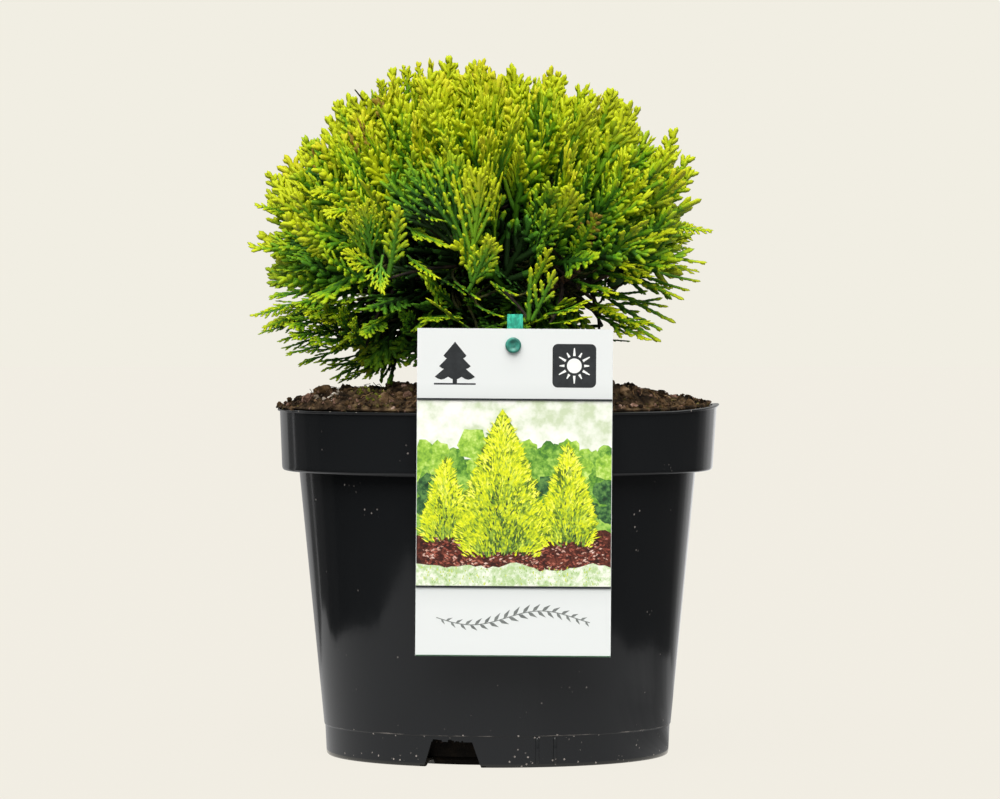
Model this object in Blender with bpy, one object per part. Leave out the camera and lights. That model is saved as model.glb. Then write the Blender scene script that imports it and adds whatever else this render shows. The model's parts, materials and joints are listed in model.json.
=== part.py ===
"""A globe thuja in a three-litre nursery pot, with its plant label pinned to a stake.

Units are metres and +Z is up. The origin is the middle of the pot's flat underside, and the label
faces -Y. Every sub-part is one closed object. Pieces that touch keep CLEARANCE between them.
"""

import math
import random

import bmesh
import bpy
from mathutils import Vector, noise
from mathutils.bvhtree import BVHTree

SEED = 11
CLEARANCE = 0.0003  # gap that touching solids keep
UP = Vector((0, 0, 1))

# The pot: a nursery container 19 cm across and 15 cm tall, moulded from thin sheet.
POT_SIDES = 40
POT_HEIGHT = 0.150
LIP_RADIUS = 0.095  # the bead round the mouth
RIM_TOP_RADIUS = 0.0936
RIM_FOOT_RADIUS = 0.0922
RIM_FOOT_Z = 0.1205  # underside of the deep rim band
BODY_TOP_RADIUS = 0.0846
BODY_FOOT_RADIUS = 0.0744
FOOT_BAND_Z = 0.0122  # the wall steps in below this height
FOOT_RADIUS = 0.0732
WALL = 0.0012
BASE_DISC_RADIUS = 0.060  # flat disc that the pot stands on
BASE_GROOVE = 0.0020  # height of the drainage groove round the disc
NOTCH_ANGLES = (-104.5, 15.5, 135.5)  # drain notches through the foot of the wall, degrees from +X
NOTCH_FOOT_WIDTH = 0.0235
NOTCH_TOP_WIDTH = 0.0160
NOTCH_HEIGHT = 0.0108
FLOOR_HOLES = 6
FLOOR_HOLE_RADIUS = 0.0045
FLOOR_HOLE_RING = 0.040

# The potting soil, heaped a little above the rim.
SOIL_SIDES = 36
SOIL_TOP_Z = 0.1595  # flat ground round the trunk's foot
SOIL_FLAT_RADIUS = 0.014
SOIL_RINGS = (0.087, 0.079, 0.068, 0.055, 0.041, 0.027, SOIL_FLAT_RADIUS)  # radii of its surface's rings
SOIL_FALL = 0.0060  # how much lower it lies at the rim than in the middle
SOIL_CALM = 0.012  # the lumps grow to full height over this distance from the flat ground
SOIL_LUMP = 0.0022  # height of the lumps
SOIL_LUMP_SIZE = 0.012  # spacing of the lumps
SOIL_SPILL = 0.0022  # how far crumbs lie out over the lip on the -X side

# The label: a card hung on a stud of its stake, in front of the rim.
LABEL_WIDTH = 0.0814
LABEL_HEIGHT = 0.1355
LABEL_THICK = 0.0006
LABEL_CENTRE_X = 0.0074
LABEL_TOP_Z = 0.1837
LABEL_BACK_Y = -0.0964
LABEL_HOLE_RADIUS = 0.0021
STUD_X = 0.0066
STUD_Z = 0.1767
STUD_RADIUS = 0.0018
STUD_HEAD_RADIUS = 0.0040
STUD_HEAD_THICK = 0.0018
STAKE_TOP_Z = 0.1885
STAKE_TIP_Z = 0.1260
STAKE_WIDTH = 0.0078
STAKE_THICK = 0.0020
STAKE_BACK_Y = -0.0872
STAKE_SOCKET = 0.0006  # the slot that the stake cuts in the soil is this much larger

# The crown: a flattened globe, whose shoots all fan out from low in the middle.
CROWN_CENTRE = Vector((-0.0065, 0.0, 0.225))
CROWN_RADIUS = 0.1030
CROWN_RISE = 0.0765  # from the centre to the top
CROWN_DROP = 0.0560  # from the centre to the underside
CROWN_SKIRT = 0.0080  # how much lower the underside hangs on the -X side, and higher on the +X side
CROWN_POWERS = (2.0, 3.0)  # roundness of the upper and lower half, where 2 is an ellipse
CROWN_FLOOR_Z = 0.1610  # nothing of the crown lies lower than this
GROWTH_ORIGIN = Vector((-0.004, 0.0, 0.186))  # where the shoots seem to fan out from
HOLLOWS = (  # direction from the centre, half-angle in degrees, share of the reach that is missing
    (Vector((0.02, -1.0, -0.20)), 30, 0.20),
    (Vector((-0.42, -0.95, 0.16)), 14, 0.14),
)
RINGS = (  # name, how many masses, elevation and first azimuth in degrees
    ("top", 1, 90.0, 0.0),
    ("upper", 5, 33.0, 54.0),
    ("lower", 8, -16.0, 0.0),
)
MASS_SHARE = 0.60  # a mass is centred at this share of the crown's reach
MASS_GAP = 0.0006  # free space between neighbouring masses
BOUGH_REACH = 0.036  # the boughs end at this distance from the growth origin
MASS_INNER = 0.038  # and the masses start at this distance
CORE_SHARE = 0.68  # a mass's dense core ends at this share of the crown's reach
CORE_GAP = 0.0030  # free space between neighbouring cores
CORE_FLOOR_Z = 0.176
CORE_STEP = 0.0010

# The sprays: flat fans of scaly shoots, drawn as ridged blades with a tooth for each shoot.
SPRAYS = 372
SPRAY_LENGTH = (0.034, 0.044)
SPRAY_FAN_OUT = 0.35  # how much a spray's direction starts from its own mass instead of the origin
SPRAY_TWISTS = 5  # turns about its own axis tried at each place
SPRAY_PLACES = 4  # places tried before a spray that leaves its mass is skipped
SPRAY_SHRINK = 0.93  # at each next place it is this much shorter
SPRAY_PULL = 0.06  # and lies this share of the way closer to the middle of its mass
SHOOT_ANGLES = (-58, -28, 0, 28, 58)  # directions of a spray's shoots from its axis, in degrees
SHOOT_REACH = (0.38, 0.52, 0.62, 0.52, 0.38)  # their reach from the palm, as a share of the length
NOTCH_REACH = (0.20, 0.27)
PALM_SHARE = 0.38  # where the shoots part, as a share of the length from the root
PALM_HALF_THICK = 0.0014
TWIG_RADIUS = (0.0013, 0.0008)
STEM_RADIUS = (0.0020, 0.0013)

# Trunk and boughs.
TRUNK_SIDES = 10
TRUNK_FOOT = Vector((0.0010, 0.0020, SOIL_TOP_Z + CLEARANCE))
TRUNK_TIP = Vector((-0.0045, 0.0, 0.1920))
TRUNK_RADIUS = (0.0078, 0.0052)
TRUNK_FLARE = 0.0036
BOUGH_SIDES = 6
BOUGH_RADIUS = (0.0027, 0.0020)
BOUGH_LEVELS = {"top": (1.0,), "upper": (0.76, 0.84), "lower": (0.30, 0.52)}  # share of the trunk
BOUGH_ROOT = 0.0036  # a bough starts this far from the trunk's axis, inside the trunk's cut-out
BOUGH_ARCH = 0.14  # how far a bough's middle leans outwards, as a share of its run


def clear_scene():
    """Removes whatever the file holds."""
    for obj in list(bpy.data.objects):
        bpy.data.objects.remove(obj)


def new_material(name, colour, roughness):
    """A Principled material with a base colour in linear light."""
    material = bpy.data.materials.new(name)
    material.use_nodes = True
    shader = material.node_tree.nodes["Principled BSDF"]
    shader.inputs["Base Color"].default_value = (*colour, 1.0)
    shader.inputs["Roughness"].default_value = roughness
    return material


def add_object(name, bm, material):
    """Makes an object of a bmesh, with its normals facing out. The bmesh is used up."""
    bmesh.ops.recalc_face_normals(bm, faces=bm.faces)
    mesh = bpy.data.meshes.new(name)
    bm.to_mesh(mesh)
    bm.free()
    if material:
        mesh.materials.append(material)
    obj = bpy.data.objects.new(name, mesh)
    bpy.context.scene.collection.objects.link(obj)
    return obj


def smooth(obj, degrees=40):
    """Smooth shading, kept sharp where faces meet at more than this angle."""
    obj.data.shade_smooth()
    obj.data.set_sharp_from_angle(angle=math.radians(degrees))


def polar(radius, angle, z):
    """A point at a radius and an angle in radians round the Z axis."""
    return Vector((radius * math.cos(angle), radius * math.sin(angle), z))


def skin_rings(bm, rings):
    """Joins rings of equal length into a tube whose two ends are closed by flat faces."""
    made = [[bm.verts.new(point) for point in ring] for ring in rings]
    count = len(made[0])
    for low, high in zip(made, made[1:]):
        for i in range(count):
            j = (i + 1) % count
            bm.faces.new((low[i], low[j], high[j], high[i]))
    bm.faces.new(list(reversed(made[0])))
    bm.faces.new(made[-1])


def turned(profile, sides):
    """A bmesh turned from a profile of (radius, z) points, closed by a disc at each end."""
    bm = bmesh.new()
    angles = [2 * math.pi * i / sides for i in range(sides)]
    skin_rings(bm, [[polar(r, angle, z) for angle in angles] for r, z in profile])
    return bm


def box(size, centre):
    """A bmesh box."""
    bm = bmesh.new()
    bmesh.ops.create_cube(bm, size=1.0)
    bmesh.ops.scale(bm, vec=size, verts=bm.verts)
    bmesh.ops.translate(bm, vec=centre, verts=bm.verts)
    return bm


def cut(obj, cutter, name):
    """Subtracts a cutter, which stays in the scene as a hidden guide."""
    cutter.hide_render = True
    cutter.display_type = "WIRE"
    modifier = obj.modifiers.new(name, "BOOLEAN")
    modifier.operation = "DIFFERENCE"
    modifier.solver = "EXACT"
    modifier.object = cutter


# ---------------------------------------------------------------- pot, soil, label


def body_radius(z):
    """Outer radius of the tapering pot wall at a height."""
    share = (z - FOOT_BAND_Z) / (RIM_FOOT_Z - FOOT_BAND_Z)
    return BODY_FOOT_RADIUS + share * (BODY_TOP_RADIUS - BODY_FOOT_RADIUS)


def pot_profile():
    """The wall's section: up the outside from the underside disc, over the lip, down to the floor."""
    outside = [
        (BASE_DISC_RADIUS, 0.0),
        (BASE_DISC_RADIUS + 0.0015, BASE_GROOVE),
        (FOOT_RADIUS - 0.0055, BASE_GROOVE),
        (FOOT_RADIUS - 0.0040, 0.0),
        (FOOT_RADIUS - 0.0008, 0.0),
        (FOOT_RADIUS, 0.0010),
        (FOOT_RADIUS + 0.0004, FOOT_BAND_Z - 0.0006),
        (BODY_FOOT_RADIUS, FOOT_BAND_Z),
        (BODY_TOP_RADIUS, RIM_FOOT_Z),
        (RIM_FOOT_RADIUS - 0.0020, RIM_FOOT_Z + 0.0004),
        (RIM_FOOT_RADIUS, RIM_FOOT_Z + 0.0024),
        (RIM_TOP_RADIUS, POT_HEIGHT - 0.0026),
        (LIP_RADIUS, POT_HEIGHT - 0.0018),
        (LIP_RADIUS, POT_HEIGHT - 0.0006),
        (LIP_RADIUS - 0.0006, POT_HEIGHT),
    ]
    inside = [
        (RIM_TOP_RADIUS - WALL + 0.0006, POT_HEIGHT),
        (RIM_TOP_RADIUS - WALL, POT_HEIGHT - 0.0012),
        (RIM_FOOT_RADIUS - WALL, RIM_FOOT_Z + 0.0024),
        (RIM_FOOT_RADIUS - 0.0026, RIM_FOOT_Z + WALL + 0.0004),
        (BODY_TOP_RADIUS - WALL, RIM_FOOT_Z + WALL),
        (FOOT_RADIUS - WALL, BASE_GROOVE + WALL),
        (BASE_DISC_RADIUS + 0.0015, BASE_GROOVE + WALL),
        (BASE_DISC_RADIUS, WALL),
    ]
    return outside + inside


def drain_notch(angle):
    """Cutter for one notch: a bar with a trapezium section that crosses the foot of the wall."""
    bm = bmesh.new()
    outward = polar(1.0, angle, 0.0)
    across = polar(1.0, angle + math.pi / 2, 0.0)
    below = 0.002
    spread = (NOTCH_FOOT_WIDTH - NOTCH_TOP_WIDTH) / 2 * below / NOTCH_HEIGHT
    section = [
        (-NOTCH_FOOT_WIDTH / 2 - spread, -below),
        (NOTCH_FOOT_WIDTH / 2 + spread, -below),
        (NOTCH_TOP_WIDTH / 2, NOTCH_HEIGHT),
        (-NOTCH_TOP_WIDTH / 2, NOTCH_HEIGHT),
    ]
    near, far = FOOT_RADIUS - 0.0090, FOOT_RADIUS + 0.0060
    skin_rings(bm, [[outward * r + across * w + UP * z for w, z in section] for r in (near, far)])
    return bm


def merged(pieces):
    """One bmesh that holds several, which are used up."""
    bm = bmesh.new()
    scratch = bpy.data.meshes.new("scratch")
    for piece in pieces:
        piece.to_mesh(scratch)
        bm.from_mesh(scratch)
        piece.free()
    bpy.data.meshes.remove(scratch)
    return bm


def pot_cutters():
    """One object with every drain notch and floor hole."""
    pieces = [drain_notch(math.radians(angle)) for angle in NOTCH_ANGLES]
    for i in range(FLOOR_HOLES):
        centre = polar(FLOOR_HOLE_RING, 2 * math.pi * (i + 0.5) / FLOOR_HOLES, 0.0)
        hole = turned([(FLOOR_HOLE_RADIUS, -0.002), (FLOOR_HOLE_RADIUS, 0.004)], 10)
        bmesh.ops.translate(hole, vec=centre, verts=hole.verts)
        pieces.append(hole)
    return add_object("pot_cutters", merged(pieces), None)


def make_pot():
    """The black pot with its deep rim band, stepped foot, drain notches and floor holes."""
    material = new_material("pot_plastic", (0.012, 0.012, 0.013), 0.32)
    pot = add_object("pot", turned(pot_profile(), POT_SIDES), material)
    cut(pot, pot_cutters(), "drainage")
    smooth(pot)
    return pot


def soil_height(x, y):
    """Height of the heaped soil: level round the trunk, lumpy further out, lower at the rim."""
    radius = math.hypot(x, y)
    share = min(radius / RIM_TOP_RADIUS, 1.0)
    fall = SOIL_FALL * share**3
    lumps = noise.noise(Vector((x, y, 0.0)) / SOIL_LUMP_SIZE) * SOIL_LUMP
    swell = noise.noise(Vector((x, y, 0.31)) / (4 * SOIL_LUMP_SIZE)) * SOIL_LUMP
    calm = min(max((radius - SOIL_FLAT_RADIUS) / SOIL_CALM, 0.0), 1.0)
    return SOIL_TOP_Z - fall + calm * (lumps + swell)


def soil_spill(angle):
    """How far the soil's edge lies out over the lip at an angle round the pot."""
    towards_left = max(0.0, -math.cos(angle)) ** 2
    ragged = 0.6 + 0.8 * noise.noise(Vector((5 * math.cos(angle), 5 * math.sin(angle), 2.0)))
    return SOIL_SPILL * towards_left * ragged


def make_soil():
    """The soil that fills the pot, with a hollow corner behind the drain notches."""
    gap = CLEARANCE + 0.0001
    mouth = RIM_TOP_RADIUS - WALL - gap
    below = [
        (BASE_DISC_RADIUS - 0.0012, WALL + gap),
        (BASE_DISC_RADIUS - 0.0002, BASE_GROOVE + WALL + gap),
        (FOOT_RADIUS - 0.0100, BASE_GROOVE + WALL + gap),
        (body_radius(0.020) - WALL - 2 * gap, 0.020),
        (BODY_TOP_RADIUS - WALL - 2 * gap, RIM_FOOT_Z + 0.0005),
        (BODY_TOP_RADIUS - WALL - 2 * gap, RIM_FOOT_Z + WALL + 3 * gap),
        (RIM_FOOT_RADIUS - 0.0030, RIM_FOOT_Z + WALL + 3 * gap),
        (RIM_FOOT_RADIUS - WALL - 2 * gap, RIM_FOOT_Z + 0.0050),
        (mouth - gap, POT_HEIGHT - 0.0014),
        (mouth - gap, POT_HEIGHT + gap),
    ]
    angles = [2 * math.pi * i / SOIL_SIDES for i in range(SOIL_SIDES)]
    rings = [[polar(r, angle, z) for angle in angles] for r, z in below]
    for inset, rise in ((0.0, 0.0003), (0.0012, 0.0014)):
        z = POT_HEIGHT + gap + rise
        rings.append([polar(mouth - inset + soil_spill(angle), angle, z) for angle in angles])
    for radius in SOIL_RINGS:
        ring = [polar(radius, angle, 0.0) for angle in angles]
        rings.append([Vector((p.x, p.y, soil_height(p.x, p.y))) for p in ring])
    bm = bmesh.new()
    skin_rings(bm, rings)
    soil = add_object("soil", bm, new_material("soil", (0.060, 0.036, 0.018), 0.95))
    slot_low = STAKE_TIP_Z - STAKE_SOCKET
    slot_height = POT_HEIGHT + 0.010 - slot_low
    size = (STAKE_WIDTH + 2 * STAKE_SOCKET, STAKE_THICK + 2 * STAKE_SOCKET, slot_height)
    centre = (STUD_X, STAKE_BACK_Y - STAKE_THICK / 2, slot_low + slot_height / 2)
    cut(soil, add_object("stake_slot", box(size, centre), None), "stake_slot")
    return soil


def make_label():
    """The card: a thin sheet with a round hole for the stud."""
    centre = (LABEL_CENTRE_X, LABEL_BACK_Y - LABEL_THICK / 2, LABEL_TOP_Z - LABEL_HEIGHT / 2)
    card = box((LABEL_WIDTH, LABEL_THICK, LABEL_HEIGHT), centre)
    label = add_object("label_card", card, new_material("label_card", (0.86, 0.87, 0.86), 0.35))
    bm = turned([(LABEL_HOLE_RADIUS, -0.002), (LABEL_HOLE_RADIUS, 0.002)], 16)
    turn_to_front(bm)
    bmesh.ops.translate(bm, vec=(STUD_X, LABEL_BACK_Y, STUD_Z), verts=bm.verts)
    cut(label, add_object("label_hole", bm, None), "hole")
    return label


def turn_to_front(bm):
    """Turns a shape that was made along +Z so that it points to -Y."""
    for vert in bm.verts:
        x, y, z = vert.co
        vert.co = Vector((x, -z, y))
    bmesh.ops.recalc_face_normals(bm, faces=bm.faces)


def make_stake():
    """The stake: a pointed strip in the soil, with the stud that carries the card on its front."""
    front = STAKE_BACK_Y - STAKE_THICK
    half = STAKE_WIDTH / 2
    outline = [
        (-half, STAKE_TOP_Z),
        (half, STAKE_TOP_Z),
        (half, STAKE_TIP_Z + 0.012),
        (0.0008, STAKE_TIP_Z),
        (-0.0008, STAKE_TIP_Z),
        (-half, STAKE_TIP_Z + 0.012),
    ]
    bm = bmesh.new()
    skin_rings(bm, [[Vector((STUD_X + x, y, z)) for x, z in outline] for y in (STAKE_BACK_Y, front)])
    stake = add_object("label_stake", bm, new_material("stake_plastic", (0.03, 0.32, 0.22), 0.35))
    head_y = -LABEL_BACK_Y + LABEL_THICK + 2 * CLEARANCE  # measured towards -Y
    profile = [
        (STUD_RADIUS, -front - STAKE_THICK / 2),
        (STUD_RADIUS, head_y),
        (STUD_HEAD_RADIUS, head_y),
        (STUD_HEAD_RADIUS, head_y + 0.5 * STUD_HEAD_THICK),
        (0.72 * STUD_HEAD_RADIUS, head_y + STUD_HEAD_THICK),
    ]
    stud = turned(profile, 16)
    turn_to_front(stud)
    bmesh.ops.translate(stud, vec=(STUD_X, 0.0, STUD_Z), verts=stud.verts)
    stud = add_object("label_stud", stud, None)
    join(stake, [stud])
    return stake


# ---------------------------------------------------------------- joining


def join(base, others):
    """Fuses other objects into one by a Boolean union, keeps the outer body, removes the others."""
    collection = bpy.data.collections.new(base.name + "_pieces")
    bpy.context.scene.collection.children.link(collection)
    for obj in others:
        for holder in list(obj.users_collection):
            holder.objects.unlink(obj)
        collection.objects.link(obj)
    modifier = base.modifiers.new("union", "BOOLEAN")
    modifier.operation = "UNION"
    modifier.operand_type = "COLLECTION"
    modifier.collection = collection
    modifier.solver = "MANIFOLD"
    bpy.context.view_layer.update()
    graph = bpy.context.evaluated_depsgraph_get()
    fused = bpy.data.meshes.new_from_object(base.evaluated_get(graph))
    base.modifiers.clear()
    fused.name = base.name
    base.data = fused
    for obj in list(collection.objects):
        bpy.data.objects.remove(obj)
    bpy.data.collections.remove(collection)
    keep_outer_body(fused)


def keep_outer_body(mesh):
    """Drops loose scraps and the walls of sealed hollows, and keeps the largest body."""
    bm = bmesh.new()
    bm.from_mesh(mesh)
    bm.faces.ensure_lookup_table()
    seen, bodies = set(), []
    for start in bm.faces:
        if start.index in seen:
            continue
        body, queue = [], [start]
        seen.add(start.index)
        while queue:
            face = queue.pop()
            body.append(face)
            for edge in face.edges:
                for other in edge.link_faces:
                    if other.index not in seen:
                        seen.add(other.index)
                        queue.append(other)
        bodies.append(body)
    bodies.sort(key=signed_volume, reverse=True)
    scraps = [face for body in bodies[1:] for face in body]
    bmesh.ops.delete(bm, geom=scraps, context="FACES")
    bm.to_mesh(mesh)
    bm.free()


def signed_volume(faces):
    """Volume inside a closed set of faces, below zero if they face inwards."""
    total = 0.0
    for face in faces:
        first, *rest = [loop.vert.co for loop in face.loops]
        for a, b in zip(rest, rest[1:]):
            total += first.dot(a.cross(b)) / 6
    return total


# ---------------------------------------------------------------- limbs


def frame_of(direction):
    """Two unit vectors square to a direction."""
    across = direction.cross(Vector((0.31, 0.77, 0.55)))
    across.normalize()
    return across, direction.cross(across).normalized()


def limb(points, radii, sides):
    """A bmesh tube through points, with a radius at each."""
    bm = bmesh.new()
    rings = []
    for k, (point, radius) in enumerate(zip(points, radii)):
        ahead = points[min(k + 1, len(points) - 1)] - points[max(k - 1, 0)]
        u, v = frame_of(ahead.normalized())
        ring = []
        for i in range(sides):
            angle = 2 * math.pi * i / sides
            ring.append(point + (u * math.cos(angle) + v * math.sin(angle)) * radius)
        rings.append(ring)
    skin_rings(bm, rings)
    return bm


def curve_points(start, bend, end, count):
    """Points along the quadratic curve from start to end that leans towards bend."""
    points = []
    for k in range(count):
        t = k / (count - 1)
        points.append(start * (1 - t) ** 2 + bend * 2 * t * (1 - t) + end * t**2)
    return points


def trunk_at(share):
    """Point on the trunk's axis at a share of its height, from foot to tip."""
    lean = Vector((0.0012, -0.0010, 0.0)) * math.sin(math.pi * share)
    return TRUNK_FOOT.lerp(TRUNK_TIP, share) + lean


def trunk_mesh(grown=0.0):
    """The trunk: level foot with root flare, tapering to the fork. grown widens it for a cutter."""
    shares = (0.0, 0.12, 0.30, 0.55, 0.80, 1.0)
    low, high = TRUNK_RADIUS
    bm = bmesh.new()
    rings = []
    for share in shares:
        flare = TRUNK_FLARE * (1 - min(share / 0.30, 1.0)) ** 2
        ring = []
        for i in range(TRUNK_SIDES):
            angle = 2 * math.pi * i / TRUNK_SIDES
            buttress = flare * (1 + 0.5 * math.cos(4 * angle + 0.6))
            radius = low + (high - low) * share + buttress + grown
            ring.append(trunk_at(share) + polar(radius, angle, 0.0))
        rings.append(ring)
    if grown:
        rings[0] = [point - UP * 0.004 for point in rings[0]]
        rings[-1] = [point + UP * grown for point in rings[-1]]
    skin_rings(bm, rings)
    return bm


# ---------------------------------------------------------------- the crown's space


def crown_reach(direction):
    """Distance from the crown's centre to its outline along a unit direction."""
    flat = math.hypot(direction.x, direction.y) / CROWN_RADIUS
    if direction.z >= 0:
        power, height = CROWN_POWERS[0], CROWN_RISE
    else:
        power, height = CROWN_POWERS[1], CROWN_DROP - CROWN_SKIRT * direction.x
    reach = (flat**power + (abs(direction.z) / height) ** power) ** (-1 / power)
    for hollow, half_angle, depth in HOLLOWS:
        angle = math.degrees(direction.angle(hollow))
        if angle < half_angle:
            reach *= 1 - depth * math.cos(math.pi / 2 * angle / half_angle) ** 2
    return reach


def direction_of(azimuth, elevation):
    """Unit vector from an azimuth round +Z and an elevation, both in degrees."""
    a, e = math.radians(azimuth), math.radians(elevation)
    return Vector((math.cos(a) * math.cos(e), math.sin(a) * math.cos(e), math.sin(e)))


class Mass:
    """One mass of foliage: its name, its centre, its ring and its place in that ring."""

    def __init__(self, ring, number, count, direction):
        self.ring = ring
        self.label = ring if count == 1 else f"{ring}_{number + 1}"
        self.number = number
        self.outward = direction
        self.centre = CROWN_CENTRE + direction * crown_reach(direction) * MASS_SHARE
        self.way = (self.centre - GROWTH_ORIGIN).normalized()


def plan_masses():
    """The masses of the crown, ring by ring."""
    masses = []
    for ring, count, elevation, first in RINGS:
        for i in range(count):
            azimuth = first + 360 * i / count
            masses.append(Mass(ring, i, count, direction_of(azimuth, elevation)))
    return masses


def room_in(mass, masses, point):
    """How far a point lies inside a mass's own space.

    The spaces are cones from the growth origin, parted halfway between the ways of their boughs,
    and each starts beyond the end of its bough.
    """
    out = point - GROWTH_ORIGIN
    room = out.length - MASS_INNER
    for other in masses:
        if other is not mass:
            room = min(room, out.dot((mass.way - other.way).normalized()))
    return room


def in_core_space(mass, masses, point):
    """True where the dense core of a mass may lie. Its inner side is flat, square to the bough."""
    out = point - CROWN_CENTRE
    inside = room_in(mass, masses, point) > CORE_GAP / 2 and point.z > CORE_FLOOR_Z
    inside = inside and (point - GROWTH_ORIGIN).dot(mass.way) > MASS_INNER
    return inside and out.length <= CORE_SHARE * crown_reach(out.normalized())


def core_mesh(mass, masses):
    """A faceted core: each corner of an icosphere is pushed out to the edge of the core's space."""
    bm = bmesh.new()
    bmesh.ops.create_icosphere(bm, subdivisions=2, radius=1.0)
    for vert in bm.verts:
        direction = vert.co.normalized()
        reach = CORE_STEP
        while in_core_space(mass, masses, mass.centre + direction * (reach + CORE_STEP)):
            reach += CORE_STEP
        dent = 0.90 + 0.10 * noise.noise(mass.centre * 40 + direction * 1.7)
        vert.co = mass.centre + direction * reach * dent
    return bm


# ---------------------------------------------------------------- sprays


def spray_corners(root, along, across, length, rng):
    """Outline of one fan as a list of corners round its palm, and the palm itself.

    The outline runs from the root up one side and down the other. Shoots spread from the palm,
    with a notch between each two of them.
    """
    palm = root + along * length * PALM_SHARE
    corners = [root]
    last = len(SHOOT_ANGLES) - 1
    for k, angle in enumerate(SHOOT_ANGLES):
        if k == 0:
            corners.append(palm + fan_ray(along, across, angle - 34) * length * 0.10)
        turn = angle + rng.uniform(-5, 5)
        reach = SHOOT_REACH[k] * rng.uniform(0.90, 1.05) * length
        corners.append(palm + fan_ray(along, across, turn) * reach)
        gap = 34 if k == last else (SHOOT_ANGLES[k + 1] - angle) / 2
        notch = 0.10 if k == last else rng.uniform(*NOTCH_REACH)
        corners.append(palm + fan_ray(along, across, angle + gap) * length * notch)
    return corners, palm


def fan_ray(along, across, degrees):
    """Unit vector in a fan's plane at an angle from its axis."""
    angle = math.radians(degrees)
    return along * math.cos(angle) + across * math.sin(angle)


def spray_mesh(corners, palm, normal):
    """A closed toothed blade, thickest at the palm and knife-edged all round."""
    bm = bmesh.new()
    front = bm.verts.new(palm + normal * PALM_HALF_THICK)
    back = bm.verts.new(palm - normal * PALM_HALF_THICK)
    rim = [bm.verts.new(point) for point in corners]
    for a, b in zip(rim, rim[1:] + rim[:1]):
        bm.faces.new((front, a, b))
        bm.faces.new((back, b, a))
    return bm


def in_keep_out(point):
    """True in the room of the label, the stake, the pot and the soil, or under the crown."""
    near_label = abs(point.x - LABEL_CENTRE_X) < LABEL_WIDTH / 2 + 0.003
    if near_label and point.y < STAKE_BACK_Y + 0.0015 and point.z < STAKE_TOP_Z + 0.002:
        return True
    return point.z < CROWN_FLOOR_Z


def owner_of(masses, point):
    """The mass whose space a point lies in."""
    return max(masses, key=lambda mass: (point - GROWTH_ORIGIN).dot(mass.way))


def spray_plan():
    """Tips of all the sprays, spread evenly over the crown by the golden angle."""
    rng = random.Random(SEED)
    golden = math.pi * (3 - math.sqrt(5))
    for i in range(SPRAYS):
        height = 1 - 2 * (i + 0.5) / SPRAYS
        ring = math.sqrt(1 - height**2)
        direction = Vector((ring * math.cos(golden * i), ring * math.sin(golden * i), height))
        reach = crown_reach(direction) * rng.uniform(0.95, 1.0)
        tip = CROWN_CENTRE + direction * reach
        yield tip, rng.uniform(*SPRAY_LENGTH), rng.uniform(0, math.pi), rng.randrange(1 << 30)


def fit_spray(mass, masses, placed, tip, length, twist, seed):
    """The blade of a spray that stays in its mass's space, or None if no try fits.

    Of the tries that fit, the one that crosses the fewest blades of the mass is taken.
    """
    best, fewest = None, math.inf
    away = tip - CROWN_CENTRE
    source = GROWTH_ORIGIN.lerp(mass.centre, SPRAY_FAN_OUT)
    for attempt in range(SPRAY_PLACES * SPRAY_TWISTS):
        place = attempt // SPRAY_TWISTS
        pulled = away.normalized().lerp(mass.outward, SPRAY_PULL * place).normalized()
        end = CROWN_CENTRE + pulled * away.length
        along = (end - source).normalized()
        u, v = frame_of(along)
        angle = twist + math.pi * attempt / SPRAY_TWISTS
        across = u * math.cos(angle) + v * math.sin(angle)
        size = length * SPRAY_SHRINK**place
        root = end - along * size
        corners, palm = spray_corners(root, along, across, size, random.Random(seed))
        points = [*corners, palm]
        fits = all(room_in(mass, masses, p) > MASS_GAP / 2 + PALM_HALF_THICK for p in points)
        clear = not any(in_keep_out(p) for p in points)
        if not (fits and clear):
            continue
        blade = spray_mesh(corners, palm, along.cross(across).normalized())
        tree = BVHTree.FromBMesh(blade)
        crossed = sum(1 for other in placed if tree.overlap(other))
        if crossed < fewest:
            best, fewest = (blade, tree, corners[0], palm), crossed
        if not crossed:
            break
    return best


# ---------------------------------------------------------------- trunk, boughs and masses


def bough_path(mass):
    """Points of a mass's bough, from inside the trunk's cut-out to just short of the mass."""
    levels = BOUGH_LEVELS[mass.ring]
    start = trunk_at(levels[mass.number % len(levels)])
    end = GROWTH_ORIGIN + mass.way * BOUGH_REACH
    outward = Vector((end.x - start.x, end.y - start.y, 0.0))
    if mass.ring == "top":
        start = start + UP * CLEARANCE
    else:
        start = start + outward.normalized() * BOUGH_ROOT
    bend = start.lerp(end, 0.5) + outward * BOUGH_ARCH
    return curve_points(start, bend, end, 4)


def taper(radii, count):
    """Radii at evenly spaced points from the first of a pair to the second."""
    low, high = radii
    return [low + (high - low) * k / (count - 1) for k in range(count)]


def make_boughs(masses, bark):
    """One tapering limb for each mass, cut clear of the trunk. Returns their paths."""
    cutter = add_object("trunk_room", trunk_mesh(CLEARANCE), None)
    paths = []
    for mass in masses:
        points = bough_path(mass)
        radii = taper(BOUGH_RADIUS, len(points))
        bough = add_object("bough_" + mass.label, limb(points, radii, BOUGH_SIDES), bark)
        if mass.ring != "top":
            cut(bough, cutter, "trunk_room")
        smooth(bough, 60)
        paths.append(points)
    return paths


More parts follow.
